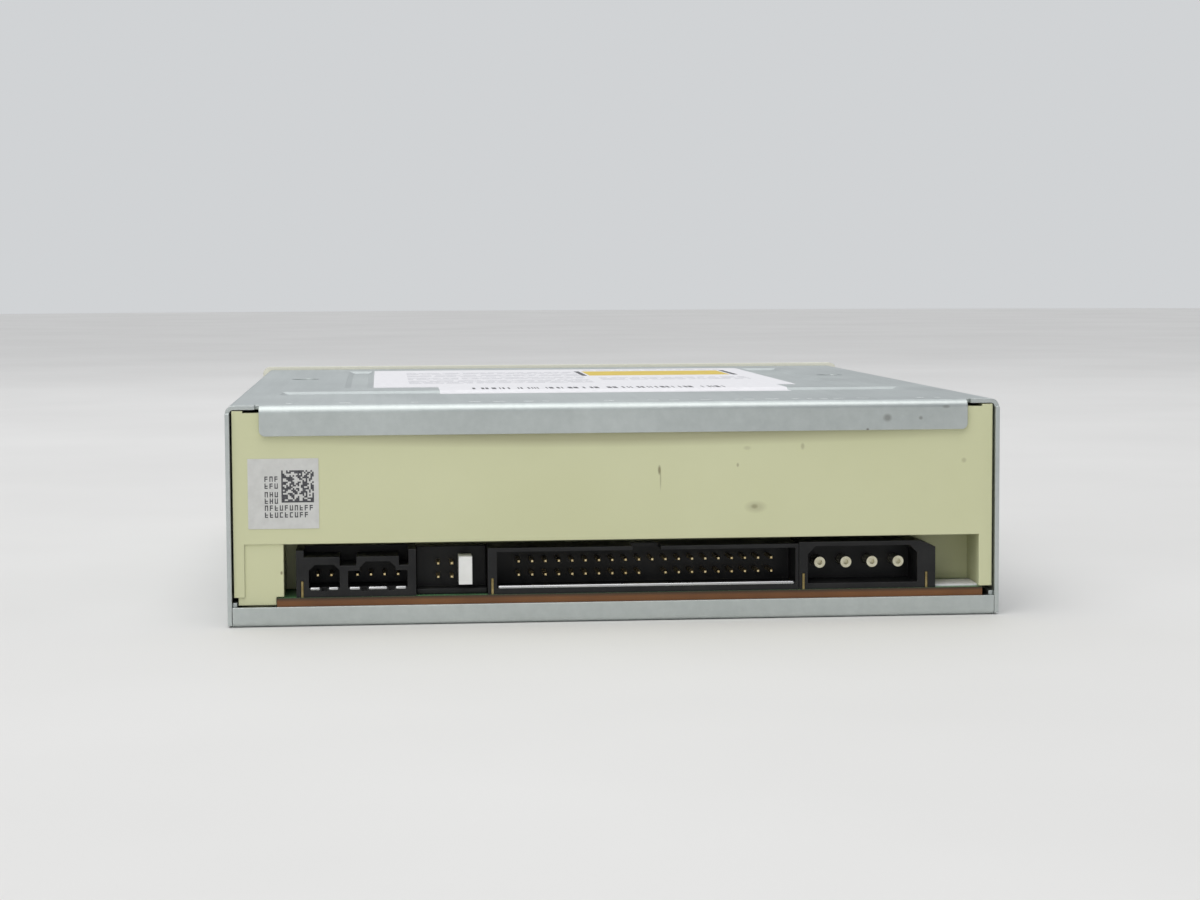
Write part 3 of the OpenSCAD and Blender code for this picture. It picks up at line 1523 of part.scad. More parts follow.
// Cast body of the pickup: bushing, fork and a scoop for the turntable
module pickup_body() color([0.55, 0.57, 0.60]) lowered() difference() {
  union() {
    along_z(pickup_z, pickup_top) difference() {
      round_span(-sled_half_w, sled_half_w, sled_y - sled_half_l, sled_y + sled_half_l, rod_r);
      at(0, disc_y) circle(pickup_scoop_r);
    }
    bar_y(bushing_r, sled_y - sled_half_l, sled_y + sled_half_l, rod_x, rod_z);
    block(sled_half_w - rod_r, rod_x, sled_y - sled_half_l, sled_y + sled_half_l,
        rod_z - rod_r - gap, pickup_top);
    block(rod_x, rod_x + bushing_pad, sled_y - follower_l / 2, sled_y + follower_l / 2,
        lead_z - follower_h / 2, lead_z + follower_h / 2);
    block(-rod_x - fork_out, rod_r - sled_half_w, sled_y - fork_t / 2, sled_y + fork_t / 2,
        rod_z - rod_r - rod_r, pickup_top);
  }
  bar_y(rod_r + run_gap, sled_y - sled_half_l - cut, sled_y + sled_half_l + cut, rod_x, rod_z);
  block(-rod_x - fork_out - cut, -rod_x + rod_r + play, sled_y - fork_t / 2 - cut,
      sled_y + fork_t / 2 + cut, rod_z - rod_r - run_gap, rod_z + rod_r + run_gap);
  bar_y(rod_r + fork_out - cut, sled_y - sled_half_l - cut, sled_y - sled_half_l + rod_r, 0, pickup_z);
}

// Pressed cap round the lens holder
module actuator_cover() color(bright) lowered() at(0, sled_y, pickup_top) difference() {
  along_z(0, cap_height) round_span(-cap_half_w, cap_half_w, -cap_half_l, cap_half_l, rod_r);
  block(-holder_half_w - play, holder_half_w + play, -holder_half_l - play, holder_half_l + play, -cut,
      cap_height + cut);
  sides() block(holder_half_w + play + cap_wall, cap_half_w - cap_wall, cap_wall - cap_half_l,
    cap_half_l - cap_wall, -cut, cap_height - cap_wall);
}

// Lens holder that floats inside the cap, and its lens
module lens_holder() color(ink_black) lowered() at(0, sled_y, pickup_top + cap_wall) difference() {
  union() {
    along_z(0, lens_z + gap) round_span(-holder_half_w, holder_half_w, -holder_half_l, holder_half_l,
        rod_r / 2);
    disc(lens_rim_r, lens_z + lens_rim_h);
  }
  at(0, 0, lens_z) disc(lens_r, lens_rim_h + cut);
  at(0, 0, -cut) disc(lens_r - cap_wall, lens_z + 2 * cut);
}
module lens() color(glass_blue) lowered() at(0, sled_y, pickup_top + cap_wall + lens_z) {
  ball = (lens_r * lens_r + lens_dome * lens_dome) / (2 * lens_dome);
  disc(lens_r, lens_rim_h - lens_dome);
  at(0, 0, lens_rim_h - ball) intersection() {
    sphere(r = ball);
    at(0, 0, ball - lens_dome) disc(lens_r, lens_dome + cut);
  }
}

// Follower on the lead screw
module follower() color(gear_white) lowered() difference() {
  block(rod_x + bushing_pad, rod_x + bushing_pad + follower_w, sled_y - follower_l / 2,
      sled_y + follower_l / 2, lead_z - follower_h / 2, lead_z + follower_h / 2);
  bar_y(lead_r + run_gap, sled_y - follower_l, sled_y + follower_l, lead_x, lead_z);
}

// Disc tray: stepped recesses, a slot, side runners and a rack
module disc_tray() color([0.20, 0.20, 0.21]) {
  half = tray_w / 2;
  floor_under = disc_floor_z - skin;
  small_floor_z = tray_bump_z + skin;
  difference() {
    union() {
      along_z(rim_z - skin, rim_z) difference() {
        round_span(-half, half, tray_front, tray_rear, tray_corner);
        at(0, disc_y) circle(disc_r);
      }
      along_z(floor_under, rim_z) difference() {
        at(0, disc_y) circle(disc_r + skin);
        at(0, disc_y) circle(disc_r);
      }
      along_z(floor_under, disc_floor_z) at(0, disc_y) circle(disc_r + skin / 2);
      along_z(tray_bump_z, disc_floor_z) at(0, disc_y) circle(small_disc_r + skin);
      sides() block(half - skin, half, tray_front + tray_corner, tray_rear - tray_corner,
          ledge_z + play, rim_z - skin / 2);
      block(-half + tray_corner, half - tray_corner, tray_front, tray_front + skin, rack_z, rim_z);
      block(-half + tray_corner, half - tray_corner, tray_rear - skin, tray_rear, ledge_z + play, rim_z);
      along_z(rack_z, disc_floor_z) rack_outline();
      block(rack_x - rack_depth - skin, rack_x - rack_depth + gap, tray_front,
          tray_rear - rack_inset, rack_z, rim_z - gap);
      block(-rack_x + rack_depth, -rack_x + rack_depth + skin, tray_front, tray_rear,
          ledge_z + play, rim_z - gap);
      for (a = [52, 128, 232, 308]) at(0, disc_y) turn(a)
        block(disc_r - tab_l, disc_r + skin, -tab_w / 2, tab_w / 2, rim_z - tab_t, rim_z);
    }
    bar_z(small_disc_r, small_floor_z, rim_z + cut, 0, disc_y);
    bar_z(disc_r - skin, disc_floor_z, rim_z - tab_t - cut, 0, disc_y);
    along_z(tray_bump_z - cut, rim_z + cut) {
      at(0, disc_y) circle(slot_half);
      round_span(-slot_half, slot_half, disc_y, disc_y + slot_rear, slot_corner);
      at(-slot_half, disc_y) square([2 * slot_half, slot_half]);
    }
    bar_z(finger_r, rim_z - skin - tab_t, rim_z + cut, 0, disc_y - disc_r);
    span(passage_half, tray_rear - skin - cut, tray_rear + cut, rack_z, passage_z);
  }
}

// Door on the front of the tray, flush with the bezel
module tray_door() color(ivory) difference() {
  back = tray_front - tray_door_gap;
  intersection() {
    along_y(face_y, back) at(0, door_z + door_h / 2) round_rect(door_w, door_h, door_edge);
    along_x(-door_w / 2, door_w / 2) round_span(face_y, back + 2 * door_edge, door_z, door_z + door_h,
        door_edge);
    along_z(door_z, door_z + door_h) round_span(-door_w / 2, door_w / 2, face_y, back + 2 * door_edge,
        door_edge);
  }
  block(door_rim - door_w / 2, door_w / 2 - door_rim, face_y + door_t, back + cut, door_z + door_rim,
      rack_z + skin);
  block(door_rim - door_w / 2, door_w / 2 - door_rim, face_y + door_t, back + cut, rim_z,
      door_z + door_h - door_rim);
}

// Steel bridge over the tray with a hole for the clamper
module clamp_bridge() color(steel) difference() {
  y0 = disc_y - bridge_w / 2 + gap;
  y1 = disc_y + bridge_w / 2 - gap;
  union() {
    span(bridge_half, y0, y1, bridge_z, bridge_z + bridge_t);
    span(lip_x, y0, y0 + bridge_t, bridge_z, bridge_z + bridge_t + lip_h);
    span(lip_x, y1 - bridge_t, y1, bridge_z, bridge_z + bridge_t + lip_h);
  }
  hole_z(bridge_hole_r, bridge_z, bridge_z + bridge_t, 0, disc_y);
  bridge_screws_at() hole_z(bridge_screw_r + gap, bridge_z, bridge_z + bridge_t);
}
module bridge_screws_at() {
  for (sx = [-1, 1], sy = [-1, 1])
      at(sx * bridge_screw_x, disc_y + sy * bridge_share * bridge_w / 2) children();
}
module bridge_screws() color(bright) bridge_screws_at() at(0, 0, bridge_z + bridge_t + bridge_head_h)
  mirror([0, 0, 1]) screw_up(bridge_head_r, bridge_head_h, bridge_screw_r - gap / 2,
      bridge_t + bridge_screw_l);

// Clamper with a pocket for the hub, and the cap that hangs it
module clamper() color(gear_white) at(0, disc_y) rotate_extrude() {
  neck_r = bridge_hole_r - neck_play;
  neck_top = cap_z;
  pocket = hub_r + clamp_pocket_play;
  polygon([
    [pocket, clamper_z], [clamper_r, clamper_z], [clamper_r, clamper_z + clamper_t],
        [neck_r, clamper_z + clamper_t], [neck_r, neck_top], [0, neck_top], [0, clamper_z + clamp_pocket_h],
        [pocket - clamper_t, clamper_z + clamp_pocket_h], [pocket, clamper_z + clamp_pocket_h - clamper_t]
  ]);
}
module clamper_cap() color(gear_white) at(0, disc_y, cap_z) difference() {
  disc(bridge_hole_r + clamper_lip, clamper_cap_t);
  at(0, 0, -cut) disc(clamper_plate_r + gap, clamper_cap_t + 2 * cut);
}
module clamper_plate() color(bright) at(0, disc_y, cap_z)
  disc(clamper_plate_r, clamper_plate_t);

// Front board under the deck
module front_board() color(board_green) difference() {
  along_z(panel_z, panel_top) {
    y1 = back_y + play;
    at(-panel_x, y1) square([2 * panel_x, panel_narrow]);
    at(-panel_x, y1) square([panel_x + panel_left, panel_wide]);
    at(panel_right, y1) square([panel_x - panel_right, panel_wide]);
  }
  for (x = panel_xs) hole_z(bridge_screw_r, panel_z, panel_top, x, back_y + panel_back);
}

// Headphone jack with its round nose through the bezel
module headphone_jack() color(ink_black) difference() {
  z0 = panel_top;
  y0 = back_y + play;
  union() {
    bar(jack_x, jack_w, y0, y0 + jack_l, z0, z0 + jack_h);
    bar_y(jack_nose_r, face_y + gap, y0 + gap, jack_x, front_z);
  }
  bar_y(jack_bore_r, face_y - cut, face_y + gap + jack_bore_l, jack_x, front_z);
}

// Volume control under a ridged thumb wheel
module volume_control() color(ink_black) {
  z0 = panel_top;
  y = face_y - knob_proud + knob_r;
  bar(wheel_x, pot_w, y - pot_w / 2, y + pot_w / 2, z0, z0 + pot_h);
  bar_z(pot_shaft_r, z0, knob_z + knob_t, wheel_x, y);
}
module volume_wheel() color(ink_black) at(wheel_x, face_y - knob_proud + knob_r) difference() {
  along_z(knob_z, knob_z + knob_t) polygon([for (i = [0 : 4 * wheel_ridges - 1])
    let (a = (i + 0.5) * 90 / wheel_ridges, r = knob_r - (floor(i / 2) % 2 == 0 ? 0 : ridge_depth))
        [r * cos(a), r * sin(a)]]);
  hole_z(pot_shaft_r + run_gap, knob_z, knob_z + knob_t);
}

// Status light with its round nose in the bezel
module status_light() color([0.75, 0.78, 0.70]) {
  z0 = panel_top;
  y0 = back_y + play;
  bar(light_x, light_body_w, y0, y0 + light_body_l, z0, z0 + light_body_h);
  bar_y(light_r, face_y + gap, y0 + gap, light_x, front_z);
}

// Eject switch and the button before it
module eject_switch() color(ink_black) {
  y0 = back_y + eject_travel + play + switch_nub_l;
  bar(eject_x, switch_w, y0, y0 + switch_l, panel_top, front_z + switch_w / 2);
  bar_y(switch_nub_r, y0 - switch_nub_l, y0 + gap, eject_x, front_z);
}
module eject_button() color(ivory) {
  y0 = face_y - button_proud;
  flange_y = face_y + bezel_wall + gap;
  intersection() {
    along_y(y0, flange_y + gap) at(eject_x, front_z)
        round_rect(eject_w, eject_h, bezel_edge - eject_gap / 2);
    along_x(eject_x - eject_w, eject_x + eject_w) round_span(y0, flange_y + 2 * cut,
        front_z - eject_h / 2, front_z + eject_h / 2, door_edge);
  }
  block(eject_x - eject_w / 2 - eject_flange, eject_x + eject_w / 2 + eject_flange, flange_y,
      flange_y + eject_flange_t,
    front_z - eject_h / 2 - eject_flange, front_z + eject_h / 2 + eject_flange);
  bar_y(stem_r, flange_y, back_y, eject_x, front_z);
}

top_cover();
bottom_cover();
main_frame();
front_bezel();
top_label();
rear_label();
cover_screws();
main_board();
board_chips();
board_capacitors();
board_screws();
audio_connector();
audio_pins();
jumper_header();
jumper_cap();
data_connector();
data_pins();
power_connector();
power_pins();
board_locks();
clamp_bridge();
bridge_screws();
clamper();
clamper_cap();
clamper_plate();
loading_motor();
motor_pulley();
drive_belt();
pulley_gear();
tray_gear();
cam_slider();
front_board();
headphone_jack();
volume_control();
volume_wheel();
status_light();
eject_switch();
eject_button();
disc_tray();
tray_door();
lift_frame();
dampers();
damper_screws();
traverse_plate();
spindle_base();
turntable();
turntable_ring();
main_rod();
sub_rod();
rod_holders();
sled_motor();
lead_screw();
pickup_body();
actuator_cover();
lens_holder();
lens();
follower();
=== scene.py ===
import math
import random

import bmesh
import bpy
from mathutils import Matrix, Vector


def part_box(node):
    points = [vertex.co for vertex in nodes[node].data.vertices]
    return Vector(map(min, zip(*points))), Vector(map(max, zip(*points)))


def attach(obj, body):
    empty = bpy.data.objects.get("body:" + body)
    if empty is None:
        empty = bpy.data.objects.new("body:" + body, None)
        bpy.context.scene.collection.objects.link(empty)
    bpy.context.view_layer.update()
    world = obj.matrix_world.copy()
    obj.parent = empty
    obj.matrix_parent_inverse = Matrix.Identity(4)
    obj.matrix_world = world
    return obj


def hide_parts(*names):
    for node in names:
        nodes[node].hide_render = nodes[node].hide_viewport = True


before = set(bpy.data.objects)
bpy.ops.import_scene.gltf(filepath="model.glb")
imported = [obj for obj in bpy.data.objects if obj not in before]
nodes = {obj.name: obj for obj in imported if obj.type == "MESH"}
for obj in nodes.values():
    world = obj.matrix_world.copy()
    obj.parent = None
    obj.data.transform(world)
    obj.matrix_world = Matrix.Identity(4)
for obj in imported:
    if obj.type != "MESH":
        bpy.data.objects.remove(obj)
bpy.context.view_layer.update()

# Camera: the photograph looks down a little on the back of the drive, from its left as seen from behind.
# The place and the three angles come from the drive's own corners in the picture.
MM = 0.001
cam_place = Vector((44.07, 536.7, 65.06)) * MM
cam_yaw, cam_pitch, cam_roll = -0.0905478, -0.0725228, -0.00489305
focal_px, picture_w_px = 2405.476, 1200
sensor_w = 36
tilt = math.cos(cam_pitch)
ahead = Vector((math.sin(cam_yaw) * tilt, -math.cos(cam_yaw) * tilt, math.sin(cam_pitch)))
level = ahead.cross(Vector((0, 0, 1))).normalized()
upright = level.cross(ahead)
cam_right = math.cos(cam_roll) * level + math.sin(cam_roll) * upright
cam_up = math.cos(cam_roll) * upright - math.sin(cam_roll) * level
camera = bpy.data.objects.new("camera", bpy.data.cameras.new("camera"))
turned = Matrix((cam_right, cam_up, -ahead)).transposed().to_4x4()
camera.matrix_world = Matrix.Translation(cam_place) @ turned
camera.data.sensor_width = sensor_w
camera.data.lens = sensor_w * (focal_px / picture_w_px)
camera.data.clip_start = 0.01
bpy.context.scene.collection.objects.link(camera)
bpy.context.scene.camera = camera
bpy.context.scene.view_settings.view_transform = "Standard"


# Floor: a plain pale table that the drive stands on.
# It is painted board, matt, and it only takes the shadow.
def shader(name):
    mat = bpy.data.materials.new(name)
    mat.use_nodes = True
    tree = mat.node_tree
    return mat, tree, tree.nodes["Principled BSDF"]


def wire(tree, source, target):
    tree.links.new(source, target)


def object_place(tree, stretch=(1, 1, 1)):
    """Places in the piece's own frame, stretched along an axis for grain that runs one way."""
    where = tree.nodes.new("ShaderNodeTexCoord")
    mapping = tree.nodes.new("ShaderNodeMapping")
    mapping.inputs["Scale"].default_value = stretch
    wire(tree, where.outputs["Object"], mapping.inputs["Vector"])
    return mapping.outputs["Vector"]


def grain(tree, place, scale, detail=4.0, rough=0.55):
    noise = tree.nodes.new("ShaderNodeTexNoise")
    noise.inputs["Scale"].default_value = scale
    noise.inputs["Detail"].default_value = detail
    noise.inputs["Roughness"].default_value = rough
    wire(tree, place, noise.inputs["Vector"])
    return noise.outputs["Fac"]


def between(tree, amount, low, high, start=0.3, end=0.7):
    """Two colours, or two grey levels, mixed by an amount."""
    ramp = tree.nodes.new("ShaderNodeValToRGB")
    ramp.color_ramp.elements[0].position = start
    ramp.color_ramp.elements[1].position = end
    ramp.color_ramp.elements[0].color = (*low, 1)
    ramp.color_ramp.elements[1].color = (*high, 1)
    wire(tree, amount, ramp.inputs["Fac"])
    return ramp.outputs["Color"]


def painted(name, low, high, scale, rough, detail=3.0):
    """A material whose colour wanders between two tones."""
    mat, tree, shade = shader(name)
    tone = between(tree, grain(tree, object_place(tree), scale, detail), low, high)
    wire(tree, tone, shade.inputs["Base Color"])
    shade.inputs["Roughness"].default_value = rough
    return mat, tree, shade


table_low, table_high = (0.74, 0.73, 0.71), (0.79, 0.78, 0.76)
table_r, table_drop = 4, 0.03
table_paint = painted("table_paint", table_low, table_high, scale=6, rough=0.7)[0]
floor_mesh = bpy.data.meshes.new("table_top")
floor_bm = bmesh.new()
bmesh.ops.create_circle(floor_bm, cap_ends=True, radius=table_r, segments=96)
floor_bm.to_mesh(floor_mesh)
table_top = bpy.data.objects.new("table_top", floor_mesh)
table_top.location.z = -table_drop * MM
table_top.data.materials.append(table_paint)
bpy.context.scene.collection.objects.link(table_top)

# Light: a pale room with a wide ceiling light, and soft lamps above, in front and behind the camera.
# A small lamp by the camera puts a spark on pins and glossy edges.
world = bpy.data.worlds.new("room")
bpy.context.scene.world = world
world.use_nodes = True
room = world.node_tree
backdrop = room.nodes["Background"]
backdrop.inputs["Color"].default_value = (0.86, 0.88, 0.90, 1)
backdrop.inputs["Strength"].default_value = 0.74
glow = room.nodes.new("ShaderNodeBackground")
glow.inputs["Color"].default_value = (0.92, 0.95, 1.0, 1)
glow.inputs["Strength"].default_value = 0.42
ray = room.nodes.new("ShaderNodeLightPath")
mixer = room.nodes.new("ShaderNodeMixShader")
room.links.new(ray.outputs["Is Camera Ray"], mixer.inputs["Fac"])
room.links.new(glow.outputs["Background"], mixer.inputs[1])
room.links.new(backdrop.outputs["Background"], mixer.inputs[2])
room.links.new(mixer.outputs["Shader"], room.nodes["World Output"].inputs["Surface"])


def soft_lamp(name, place, aim, size, power, colour):
    lamp = bpy.data.lights.new(name, "AREA")
    lamp.shape = "DISK"
    lamp.size = size
    lamp.energy = power
    lamp.color = colour
    obj = bpy.data.objects.new(name, lamp)
    obj.location = place
    obj.rotation_mode = "QUATERNION"
    obj.rotation_quaternion = (Vector(aim) - Vector(place)).to_track_quat("-Z", "Y")
    bpy.context.scene.collection.objects.link(obj)


warm_tint, mild_tint = (1.0, 0.98, 0.95), (1.0, 0.99, 0.97)
cool_tint, white_tint = (0.97, 0.98, 1.0), (1.0, 1.0, 1.0)
soft_lamp("lamp_above", place=(0.1, 0.3, 0.95), aim=(0, 0, 0), size=0.9, power=1.3, colour=warm_tint)
soft_lamp("lamp_behind_camera", place=(0.6, 1.05, 0.55), aim=(0, 0.05, 0.02), size=0.9, power=1.75,
          colour=mild_tint)
soft_lamp("lamp_front", place=(0.05, -0.65, 0.85), aim=(0, 0, 0.02), size=1.0, power=1.7, colour=cool_tint)
sky_light = bpy.data.lights.new("ceiling_light", "SUN")
sky_light.energy = 1.25
sky_light.angle = 1.3
sky = bpy.data.objects.new("ceiling_light", sky_light)
sky.rotation_euler = (math.radians(-14), math.radians(10), 0)
bpy.context.scene.collection.objects.link(sky)
soft_lamp("lamp_spark", place=(0.3, 0.75, 0.42), aim=(0, 0.08, 0.01), size=0.12, power=0.22,
          colour=white_tint)


def dress(mat, *names):
    for name in names:
        mesh = nodes[name].data
        mesh.materials.clear()
        mesh.materials.append(mat)


def grey(level):
    return (level,) * 3


def near_edge(tree, reach):
    """The normal rounded over near an edge, and a value that is 1 on a flat and less at an edge."""
    rounded = tree.nodes.new("ShaderNodeBevel")
    rounded.samples = 4
    rounded.inputs["Radius"].default_value = reach
    flat = tree.nodes.new("ShaderNodeNewGeometry")
    match = tree.nodes.new("ShaderNodeVectorMath")
    match.operation = "DOT_PRODUCT"
    wire(tree, rounded.outputs["Normal"], match.inputs[0])
    wire(tree, flat.outputs["Normal"], match.inputs[1])
    return rounded.outputs["Normal"], match.outputs["Value"]


def worn(tree, base, flatness, colour, amount=0.6):
    """The base colour, rubbed towards another colour along the edges."""
    rub = tree.nodes.new("ShaderNodeMix")
    rub.data_type = "RGBA"
    wire(tree, between(tree, flatness, grey(amount), grey(0), start=0.80, end=0.97), rub.inputs[0])
    wire(tree, base, rub.inputs[6])
    rub.inputs[7].default_value = (*colour, 1)
    return rub.outputs[2]


def stain_and_shade(tree, base, centre, size, colour, strength):
    """One mark in the finish, at a place and with a size in millimetres; it draws real stains and painted
    shade.
    """
    where = tree.nodes.new("ShaderNodeTexCoord")
    spot = tree.nodes.new("ShaderNodeMapping")
    spot.inputs["Location"].default_value = [-c / r for c, r in zip(centre, size)]
    spot.inputs["Scale"].default_value = [1 / (r * MM) for r in size]
    ball = tree.nodes.new("ShaderNodeTexGradient")
    ball.gradient_type = "SPHERICAL"
    mark = tree.nodes.new("ShaderNodeMix")
    mark.data_type = "RGBA"
    wire(tree, where.outputs["Object"], spot.inputs["Vector"])
    wire(tree, spot.outputs["Vector"], ball.inputs["Vector"])
    depth = between(tree, ball.outputs["Fac"], grey(0), grey(strength), start=0.0, end=0.6)
    wire(tree, depth, mark.inputs[0])
    wire(tree, base, mark.inputs[6])
    mark.inputs[7].default_value = (*colour, 1)
    return mark.outputs[2]


def relief(tree, shade, height, depth, strength=0.5, around=None):
    bump = tree.nodes.new("ShaderNodeBump")
    if around:
        wire(tree, around, bump.inputs["Normal"])
    bump.inputs["Distance"].default_value = depth
    bump.inputs["Strength"].default_value = strength
    wire(tree, height, bump.inputs["Height"])
    wire(tree, bump.outputs["Normal"], shade.inputs["Normal"])


def galvanised(name, dark, light, run, marks=(), edge=0.00025):
    mat, tree, shade = shader(name)
    place = object_place(tree)
    rolled = object_place(tree, run)
    cloud = grain(tree, place, scale=38, detail=5, rough=0.6)
    streak = grain(tree, rolled, scale=420, detail=3, rough=0.7)
    crystal = tree.nodes.new("ShaderNodeTexVoronoi")
    crystal.inputs["Scale"].default_value = 900
    wire(tree, place, crystal.inputs["Vector"])
    tone = tree.nodes.new("ShaderNodeMix")
    tone.data_type = "RGBA"
    tone.blend_type = "SOFT_LIGHT"
    tone.inputs[0].default_value = 0.35
    wire(tree, between(tree, cloud, dark, light), tone.inputs[6])
    wire(tree, between(tree, streak, grey(0.35), grey(0.65)), tone.inputs[7])
    rounded, flatness = near_edge(tree, edge)
    skin = worn(tree, tone.outputs[2], flatness, [min(c + 0.16, 0.9) for c in light])
    smudge = (0.16, 0.15, 0.13)
    for centre, size, strength in marks:
        skin = stain_and_shade(tree, skin, centre, size, smudge, strength)
    wire(tree, skin, shade.inputs["Base Color"])
    shade.inputs["Metallic"].default_value = 0.85
    wire(tree, between(tree, cloud, grey(0.36), grey(0.46)), shade.inputs["Roughness"])
    height = tree.nodes.new("ShaderNodeMath")
    height.operation = "ADD"
    wire(tree, streak, height.inputs[0])
    wire(tree, crystal.outputs["Distance"], height.inputs[1])
    relief(tree, shade, height.outputs["Value"], depth=0.00002, strength=0.35, around=rounded)
    return mat


flange_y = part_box("top_cover")[1].y / MM
mark_depth = 2


def marks_at(y, rows):
    """Marks on a wall: each row gives x, z, half the width, half the height and how dark it is."""
    return [((x, y, z), (half_w, mark_depth, half_h), dark) for x, z, half_w, half_h, dark in rows]


flange_marks = marks_at(flange_y, ((-51.3, 37.9, 1.0, 0.9, 0.5), (-57.7, 37.8, 0.5, 0.45, 0.5),
                                   (-62.6, 39.9, 0.9, 0.4, 0.4), (-47.5, 35.7, 0.35, 0.35, 0.7)))
across, along, alike = (1, 0.03, 1), (0.03, 1, 1), (1, 1, 1)
cover_low, cover_high = (0.535, 0.575, 0.56), (0.585, 0.625, 0.61)
cover_steel = galvanised("zinc_coated_steel", cover_low, cover_high, across, flange_marks)
dress(cover_steel, "top_cover", "bottom_cover")
plain_low, plain_high = (0.55, 0.57, 0.58), (0.64, 0.66, 0.67)
plain_steel = galvanised("plain_steel", plain_low, plain_high, along)
dress(plain_steel, "clamp_bridge", "traverse_plate")


# Stamp marks: a row of faint upset dashes that the press leaves along the rear edge of the roof.
# They are part of the sheet and stand up by a few hundredths.
def mesh_piece(name, bm, mat, body, smooth=False):
    bmesh.ops.recalc_face_normals(bm, faces=bm.faces)
    mesh = bpy.data.meshes.new(name)
    bm.to_mesh(mesh)
    bm.free()
    obj = bpy.data.objects.new(name, mesh)
    mesh.materials.append(mat)
    bpy.context.scene.collection.objects.link(obj)
    if smooth:
        for f in mesh.polygons:
            f.use_smooth = True
    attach(obj, body)
    return obj


def add_slab(bm, lo, hi, edge=0.0):
    """A block between two corners in millimetres, with its edges broken."""
    made = bmesh.ops.create_cube(bm, size=1)
    verts = made["verts"]
    size = [(b - a) * MM for a, b in zip(lo, hi)]
    middle = [(a + b) / 2 * MM for a, b in zip(lo, hi)]
    for v in verts:
        v.co = Vector(c * s + m for c, s, m in zip(v.co, size, middle))
    if edge:
        edges = list({e for v in verts for e in v.link_edges})
        bmesh.ops.bevel(bm, geom=edges, offset=edge * MM, segments=2, affect="EDGES", profile=0.6)


roof_top = 41.3
dash_row_x1, dash_row_x0 = 62.0, -64
dash_in, dash_w, dash_sunk, dash_proud, dash_edge = 6.5, 1.1, 0.02, 0.06, 0.03
dash_share = 0.62
stamp = random.Random(3)
bm = bmesh.new()
x = dash_row_x1
while x > dash_row_x0:
    w = stamp.uniform(0.8, 2.6)
    if stamp.random() < dash_share:
        dash_lo = (x - w, flange_y - dash_in - dash_w, roof_top - dash_sunk)
        add_slab(bm, dash_lo, (x, flange_y - dash_in, roof_top + dash_proud), dash_edge)
    x -= w + stamp.uniform(0.7, 2.4)
# The dashes' steel is a lighter copy of the roof's zinc: a painted highlight for the light they catch.
upset_highlight_low, upset_highlight_high = (0.66, 0.70, 0.69), (0.74, 0.78, 0.77)
upset_steel_painted_highlight = galvanised("upset_steel_painted_highlight", upset_highlight_low, upset_highlight_high, across)
mesh_piece("roof_stamp_marks", bm, upset_steel_painted_highlight, "frame")


# Moulded frame: cream plastic that has yellowed with age, with a fine matt skin and a few scuffs.
# It was moulded in one shot, and its flow marks show as faint clouds.
def moulded(name, low, high, rough=(0.42, 0.56), skin=900, depth=0.000012, cloud_scale=30, sheen=0.0):
    mat, tree, shade = shader(name)
    place = object_place(tree)
    cloud = grain(tree, place, cloud_scale, detail=5)
    tone = between(tree, cloud, low, high)
    fine = grain(tree, place, skin, detail=2)
    rounded, flatness = near_edge(tree, 0.0002)
    rubbed = worn(tree, tone, flatness, [min(c * 1.3 + 0.02, 0.92) for c in high])
    wire(tree, rubbed, shade.inputs["Base Color"])
    wire(tree, between(tree, cloud, grey(rough[0]), grey(rough[1])), shade.inputs["Roughness"])
    relief(tree, shade, fine, depth, around=rounded)
    shade.inputs["Sheen Weight"].default_value = sheen
    return mat


def aged_cream(name, low, high, tint, marks=()):
    mat, tree, shade = shader(name)
    place = object_place(tree)
    cloud = grain(tree, place, scale=22, detail=6)
    specks = grain(tree, place, scale=240, detail=8, rough=0.75)
    base = between(tree, cloud, low, high)
    dirt = tree.nodes.new("ShaderNodeMix")
    dirt.data_type = "RGBA"
    dirt.blend_type = "MULTIPLY"
    wire(tree, base, dirt.inputs[6])
    dirt.inputs[7].default_value = (*tint, 1)
    wire(tree, between(tree, specks, grey(0), grey(1), start=0.70, end=0.78), dirt.inputs[0])
    rounded, flatness = near_edge(tree, 0.0003)
    skin = worn(tree, dirt.outputs[2], flatness, [min(c + 0.08, 0.9) for c in high], 0.5)
    # This dark colour paints the real scuffs and also the painted shadow band under the flange.
    scuff_and_shade = (0.20, 0.17, 0.09)
    for centre, size, strength in marks:
        skin = stain_and_shade(tree, skin, centre, size, scuff_and_shade, strength)
    wire(tree, skin, shade.inputs["Base Color"])
    wire(tree, between(tree, cloud, grey(0.36), grey(0.48)), shade.inputs["Roughness"])
    fine = grain(tree, place, scale=1100, detail=2)
    relief(tree, shade, fine, depth=0.000012, around=rounded)
    return mat


wall_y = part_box("main_frame")[1].y / MM
frame_marks = marks_at(wall_y, ((-7.9, 28.4, 0.35, 1.1, 0.8), (-8.1, 26.8, 0.18, 2.6, 0.4),
                                (-26.2, 21.2, 2.4, 1.3, 0.28), (-26.0, 21.3, 0.8, 0.55, 0.5),
                                (-35.2, 32.6, 0.45, 0.8, 0.35), (-22.8, 29.2, 0.3, 0.5, 0.5),
                                (-24.6, 32.4, 0.9, 0.5, 0.2), (-66.3, 29.6, 0.6, 0.6, 0.3),
                                (57.4, 31.0, 0.3, 0.3, 0.5), (63.0, 10.0, 0.3, 0.45, 0.8)))
# Painted shadow: a soft dark band on the rear wall just under the flange, where the flange shades it.
painted_shadow_under_flange = ((0, wall_y, 35.2), (70, 3, 2.4), 0.4)
frame_marks.append(painted_shadow_under_flange)
cream_low, cream_high, cream_dirt = (0.625, 0.635, 0.385), (0.675, 0.685, 0.435), (0.62, 0.56, 0.42)
frame_cream = aged_cream("yellowed_cream_plastic", cream_low, cream_high, cream_dirt, frame_marks)
dress(frame_cream, "main_frame")

